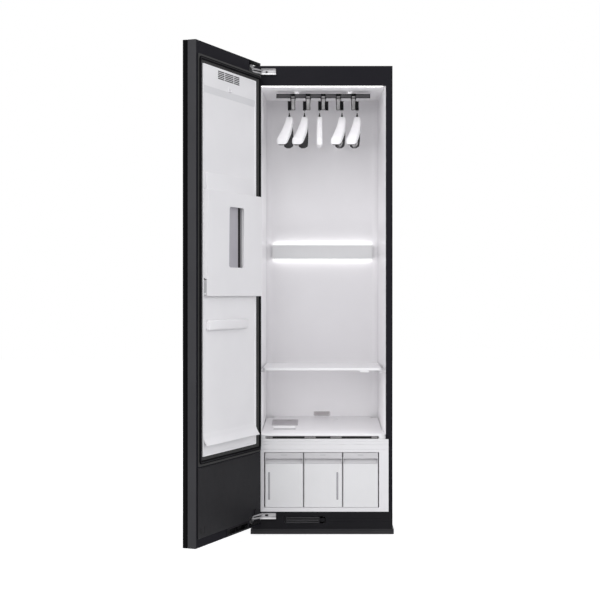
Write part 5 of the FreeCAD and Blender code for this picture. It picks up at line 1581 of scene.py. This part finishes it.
# ---------------------------------------------------------------- hinges
@dataclass
class HingeSet:
    """The cabinet halves of the two hinges, the springs on their pins and what lines the door's pockets."""

    pin: tuple[float, float] = (-294.0, -48.0)
    block_left: float = -254.5
    block_right: float = -193.5
    adjuster_x: float = -232.0
    bases: tuple[float, float] = (61.0, 1920.0)
    rises: tuple[float, float] = (-4.0, 5.0)
    knuckle: float = 15.0
    link_gap: float = 4.0
    link_height: float = 7.8
    spring_steps: int = 72
    pocket: Box = (500.0, 599.6, -21.6, -1.2)

    def build(self) -> None:
        """Add the blocks with their links, flanges, adjusters, springs, pins and the door's side."""
        blocks, flanges, adjusters, springs, pins = Form(), Form(), Form(), Form(), Form()
        heads = ((2.0, -2.4), (4.6, -1.6), (5.2, -0.4), (3.9, -0.3), (3.9, 30.3), (5.2, 30.4), (4.6, 31.6), (2.0, 32.4))
        for base, rise in zip(self.bases, self.rises):
            upper = rise > 0
            foot = base if upper else base + 3
            self._block(blocks, foot, foot + (28.0 if upper else 25.0))
            self._links(blocks, base, rise)
            flange = rounded(-17.5, -0.6, foot, foot + 7.5, 2.2, 4)
            flanges.slab(flange, (self.block_left - 6, self.block_right + 0.5), 0)
            hole, reach = (base + 11.0, (4.4, 4.2)) if upper else (base + 19.5, (7.0, 4.2))
            adjusters.slab(around((self.adjuster_x, hole), reach, 4.0), (-12.0, -16.2))
            self._spring(springs, base + self.knuckle + rise)
            pins.loft([level(circle(radius, 20, self.pin), base + height, 2) for radius, height in heads])
        blocks.piece("hinge_blocks", Body.CABINET, Palette.HINGE, "arm_chrome", ["hinge_brackets"], 0.5)
        flanges.piece("hinge_flanges", Body.CABINET, Palette.FLANGE, "arm_chrome", bevel=0.6)
        adjusters.piece("hinge_adjusters", Body.CABINET, Palette.CREASE, "ground_steel", bevel=0.2)
        springs.piece("hinge_springs", Body.CABINET, Palette.FLANGE, "arm_chrome")
        self._door_side()
        pins.piece("hinge_pins", Body.CABINET, Palette.HINGE, "arm_chrome", bevel=0.4)

    def _block(self, form: Form, base: float, high: float) -> None:
        """Draw a mounting block with an arched face, a notched end and two ridges.

        Args:
            form: the drawing.
            base: its lower edge, in mm.
            high: its upper edge.
        """
        face = (
            (-0.6, base + 1), (-12.5, base + 1), (-13.2, base + 8), (-13.6, base + 14), (-13.0, high - 6),
            (-11.0, high - 1.5), (-9.0, high), (-0.6, high),
        )
        left, right, middle = self.block_left, self.block_right, (base + high) / 2
        stations = ((left, 1.0), (right - 5, 1.0), (right - 1.2, 0.93), (right, 0.8))
        form.loft([level([(y, middle + (z - middle) * share) for y, z in face], x, 0) for x, share in stations])
        for z in (base + 6, high - 5):
            form.slab(around((-13.5, z), (1.5, 1.2), 1.1, 3), (left + 6, right - 8), 0)

    def _links(self, form: Form, base: float, rise: float) -> None:
        """Draw the two bars from a block to its knuckle, and the knuckle's rings.

        Args:
            form: the drawing.
            base: the hinge's lower edge, in mm.
            rise: how much the far ends sit lower than the knuckle.
        """
        near = Vector((*self.pin, 0))
        far = Vector((self.block_left + 5, -7.5, 0))
        along = (far - near).normalized()
        across = Vector((-along.y, along.x, 0))
        tall = self.link_height
        for low in (base + 5.2, base + self.knuckle + self.link_gap / 2):
            loops = []
            for place, half, drop in ((near, 4.4, 0.0), (near.lerp(far, 0.6), 5.0, -rise * 0.3), (far, 5.2, -rise)):
                corners = rounded(-half, half, low + drop, low + drop + tall, 2.0, 3)
                loops.append([place + across * a + Vector((0, 0, z)) for a, z in corners])
            form.loft(loops)
            rings = ((6.9, low), (7.4, low + 1), (7.4, low + tall - 1), (6.9, low + tall))
            form.loft([level(circle(radius, 24, self.pin), z, 2) for radius, z in rings])

    def _spring(self, form: Form, middle: float) -> None:
        """Wind the wire spring round a pin.

        Args:
            form: the drawing.
            middle: the middle of its height, in mm.
        """
        path = []
        for step in range(self.spring_steps + 1):
            share = step / self.spring_steps
            turn = 2 * math.pi * 3 * share
            x, y = self.pin[0] + 9.4 * math.cos(turn), self.pin[1] + 9.4 * math.sin(turn)
            path.append(Vector((x, y, middle - 9 + 18 * share)))
        form.tube(path, 1.5, 8)

    def _door_side(self) -> None:
        """Add the bright curls on the door's leaves and the dark linings of its pockets."""
        curls, linings = Form(), Form()
        for base, rise in zip(self.bases, self.rises):
            middle = base + self.knuckle + 1.6 * rise
            for s, reach in ((545.0, 9.0), (531.0, 5.0)):
                edges = ((reach, -19.0), (reach, -15.6), (reach * 0.5, -15.6), (reach * 0.5, -19.0))
                curls.loft([level(circle(radius, 24, (s, middle), 1.3), n) for radius, n in edges], endless=True)
            low = base + 30.8 if rise > 0 else base - 6.4
            linings.slab(rounded(*self.pocket, 1.0), (low, low + 5.2), 2)
        curls.piece("hinge_curls", Body.DOOR, Palette.FLANGE, "arm_chrome")
        linings.piece("hinge_pocket_linings", Body.DOOR, Palette.CUP, "shell_black", bevel=0.4)


@dataclass
class IntakeRibs:
    """Lighter ribs along the air intake's slab."""

    middle: Point = (-82.0, 0.7, 48.2)
    pitch: float = 7.0
    size: Point = (138.0, 0.9, 2.4)
    count: int = 4

    def build(self) -> None:
        """Add the ribs."""
        rows = [(self.count, self.middle, (0.0, 0.0, self.pitch))]
        ribs = grown_rows("intake_ribs", rows, self.size, Palette.LOUVRE)
        add_piece("intake_ribs", ribs, Body.CABINET, Palette.LOUVRE, "kick_black", bevel=0.2)


# ---------------------------------------------------------------- fasteners
@dataclass
class ScrewHead:
    """A low domed screw head with a cross recess, drawn round Z with its seat at Z = 0, in mm."""

    radius: float = 3.6
    height: float = 1.7
    recess: float = 2.0
    recess_width: float = 0.4
    sides: int = 24
    profile: tuple[tuple[float, float], ...] = ((1.0, 0.0), (1.0, 0.35), (0.93, 0.7), (0.78, 0.92), (0.64, 1.0))

    def mesh(self) -> Mesh:
        """Draw the head.

        Returns:
            The mesh, in metres.
        """
        form = Form()
        turns = [2 * math.pi * (n + 0.5) / self.sides for n in range(self.sides)]
        rings = []
        for share, rise in self.profile:
            out = self.radius * share
            edge = [(out * math.cos(turn), out * math.sin(turn)) for turn in turns]
            rings.append(form.loop(level(edge, self.height * rise, 2)))
        for first, second in zip(rings, rings[1:]):
            form.bridge(first, second)
        arm, half = self.recess, self.recess_width
        cross = [(arm, half), (half, half), (half, arm), (-half, arm), (-half, half), (-arm, half)]
        cross += [(-a, -b) for a, b in cross]
        top = form.loop(level(cross, self.height, 2))
        floor = form.loop(level([(a * 0.8, b * 0.8) for a, b in cross], self.height * 0.35, 2))
        form.bridge(top, floor)
        form.faces += [rings[0][::-1], floor]
        outer = rings[-1]
        nearest = [min(range(len(cross)), key=lambda n: self._apart(cross[n], turn)) for turn in turns]
        for place in range(self.sides):
            after = (place + 1) % self.sides
            run = [nearest[place]]
            while run[-1] != nearest[after]:
                run.append((run[-1] + 1) % len(cross))
            form.faces.append([outer[place], outer[after]] + [top[n] for n in reversed(run)])
        return form.mesh("screw_head")

    @staticmethod
    def _apart(point: Point, turn: float) -> float:
        """How far a point's own direction is from a turn, in radians."""
        gap = math.atan2(point[1], point[0]) - turn
        return abs(math.atan2(math.sin(gap), math.cos(gap)))


@dataclass
class Fasteners:
    """Screws round the back panel."""

    back: float = 537.0
    heights: tuple[float, float] = (1950.0, 32.0)
    across: int = 8
    width: float = 568.0
    up: int = 9
    half_spread: float = 286.0
    side_low: float = 200.0
    side_pitch: float = 195.0
    turn: Point = (-90.0, 0.0, 0.0)

    def build(self) -> None:
        """Add the screws, each edge of the panel as a row."""
        along, upward = (self.width / (self.across - 1), 0, 0), (0, 0, self.side_pitch)
        rows = [(self.across, (-self.width / 2, self.back, height), along) for height in self.heights]
        rows += [(self.up, (side * self.half_spread, self.back, self.side_low), upward) for side in (-1, 1)]
        head = new_object("screw_head_pattern", ScrewHead().mesh())
        screws = grown_rows("back_panel_screws", rows, head, Palette.CAN, self.turn)
        bpy.data.objects.remove(head)
        add_piece("back_panel_screws", screws, Body.CABINET, Palette.CAN, "shell_black")


# ---------------------------------------------------------------- the whole scene
def main() -> None:
    """Build every sub-assembly in order."""
    hangers = HangerSet()
    parts = (
        Studio(), hangers, HangerDrive(hangers), ChamberVents(), LintFilter(), DoorSeal(), TrouserPress(),
        DoorTrim(), TankTrim(), HingeSet(), IntakeRibs(), Fasteners(), CadDress(),
    )
    for part in parts:
        LOG.info("building %s", type(part).__name__)
        part.build()


if __name__ == "__main__":
    logging.basicConfig(level=logging.INFO)
    main()
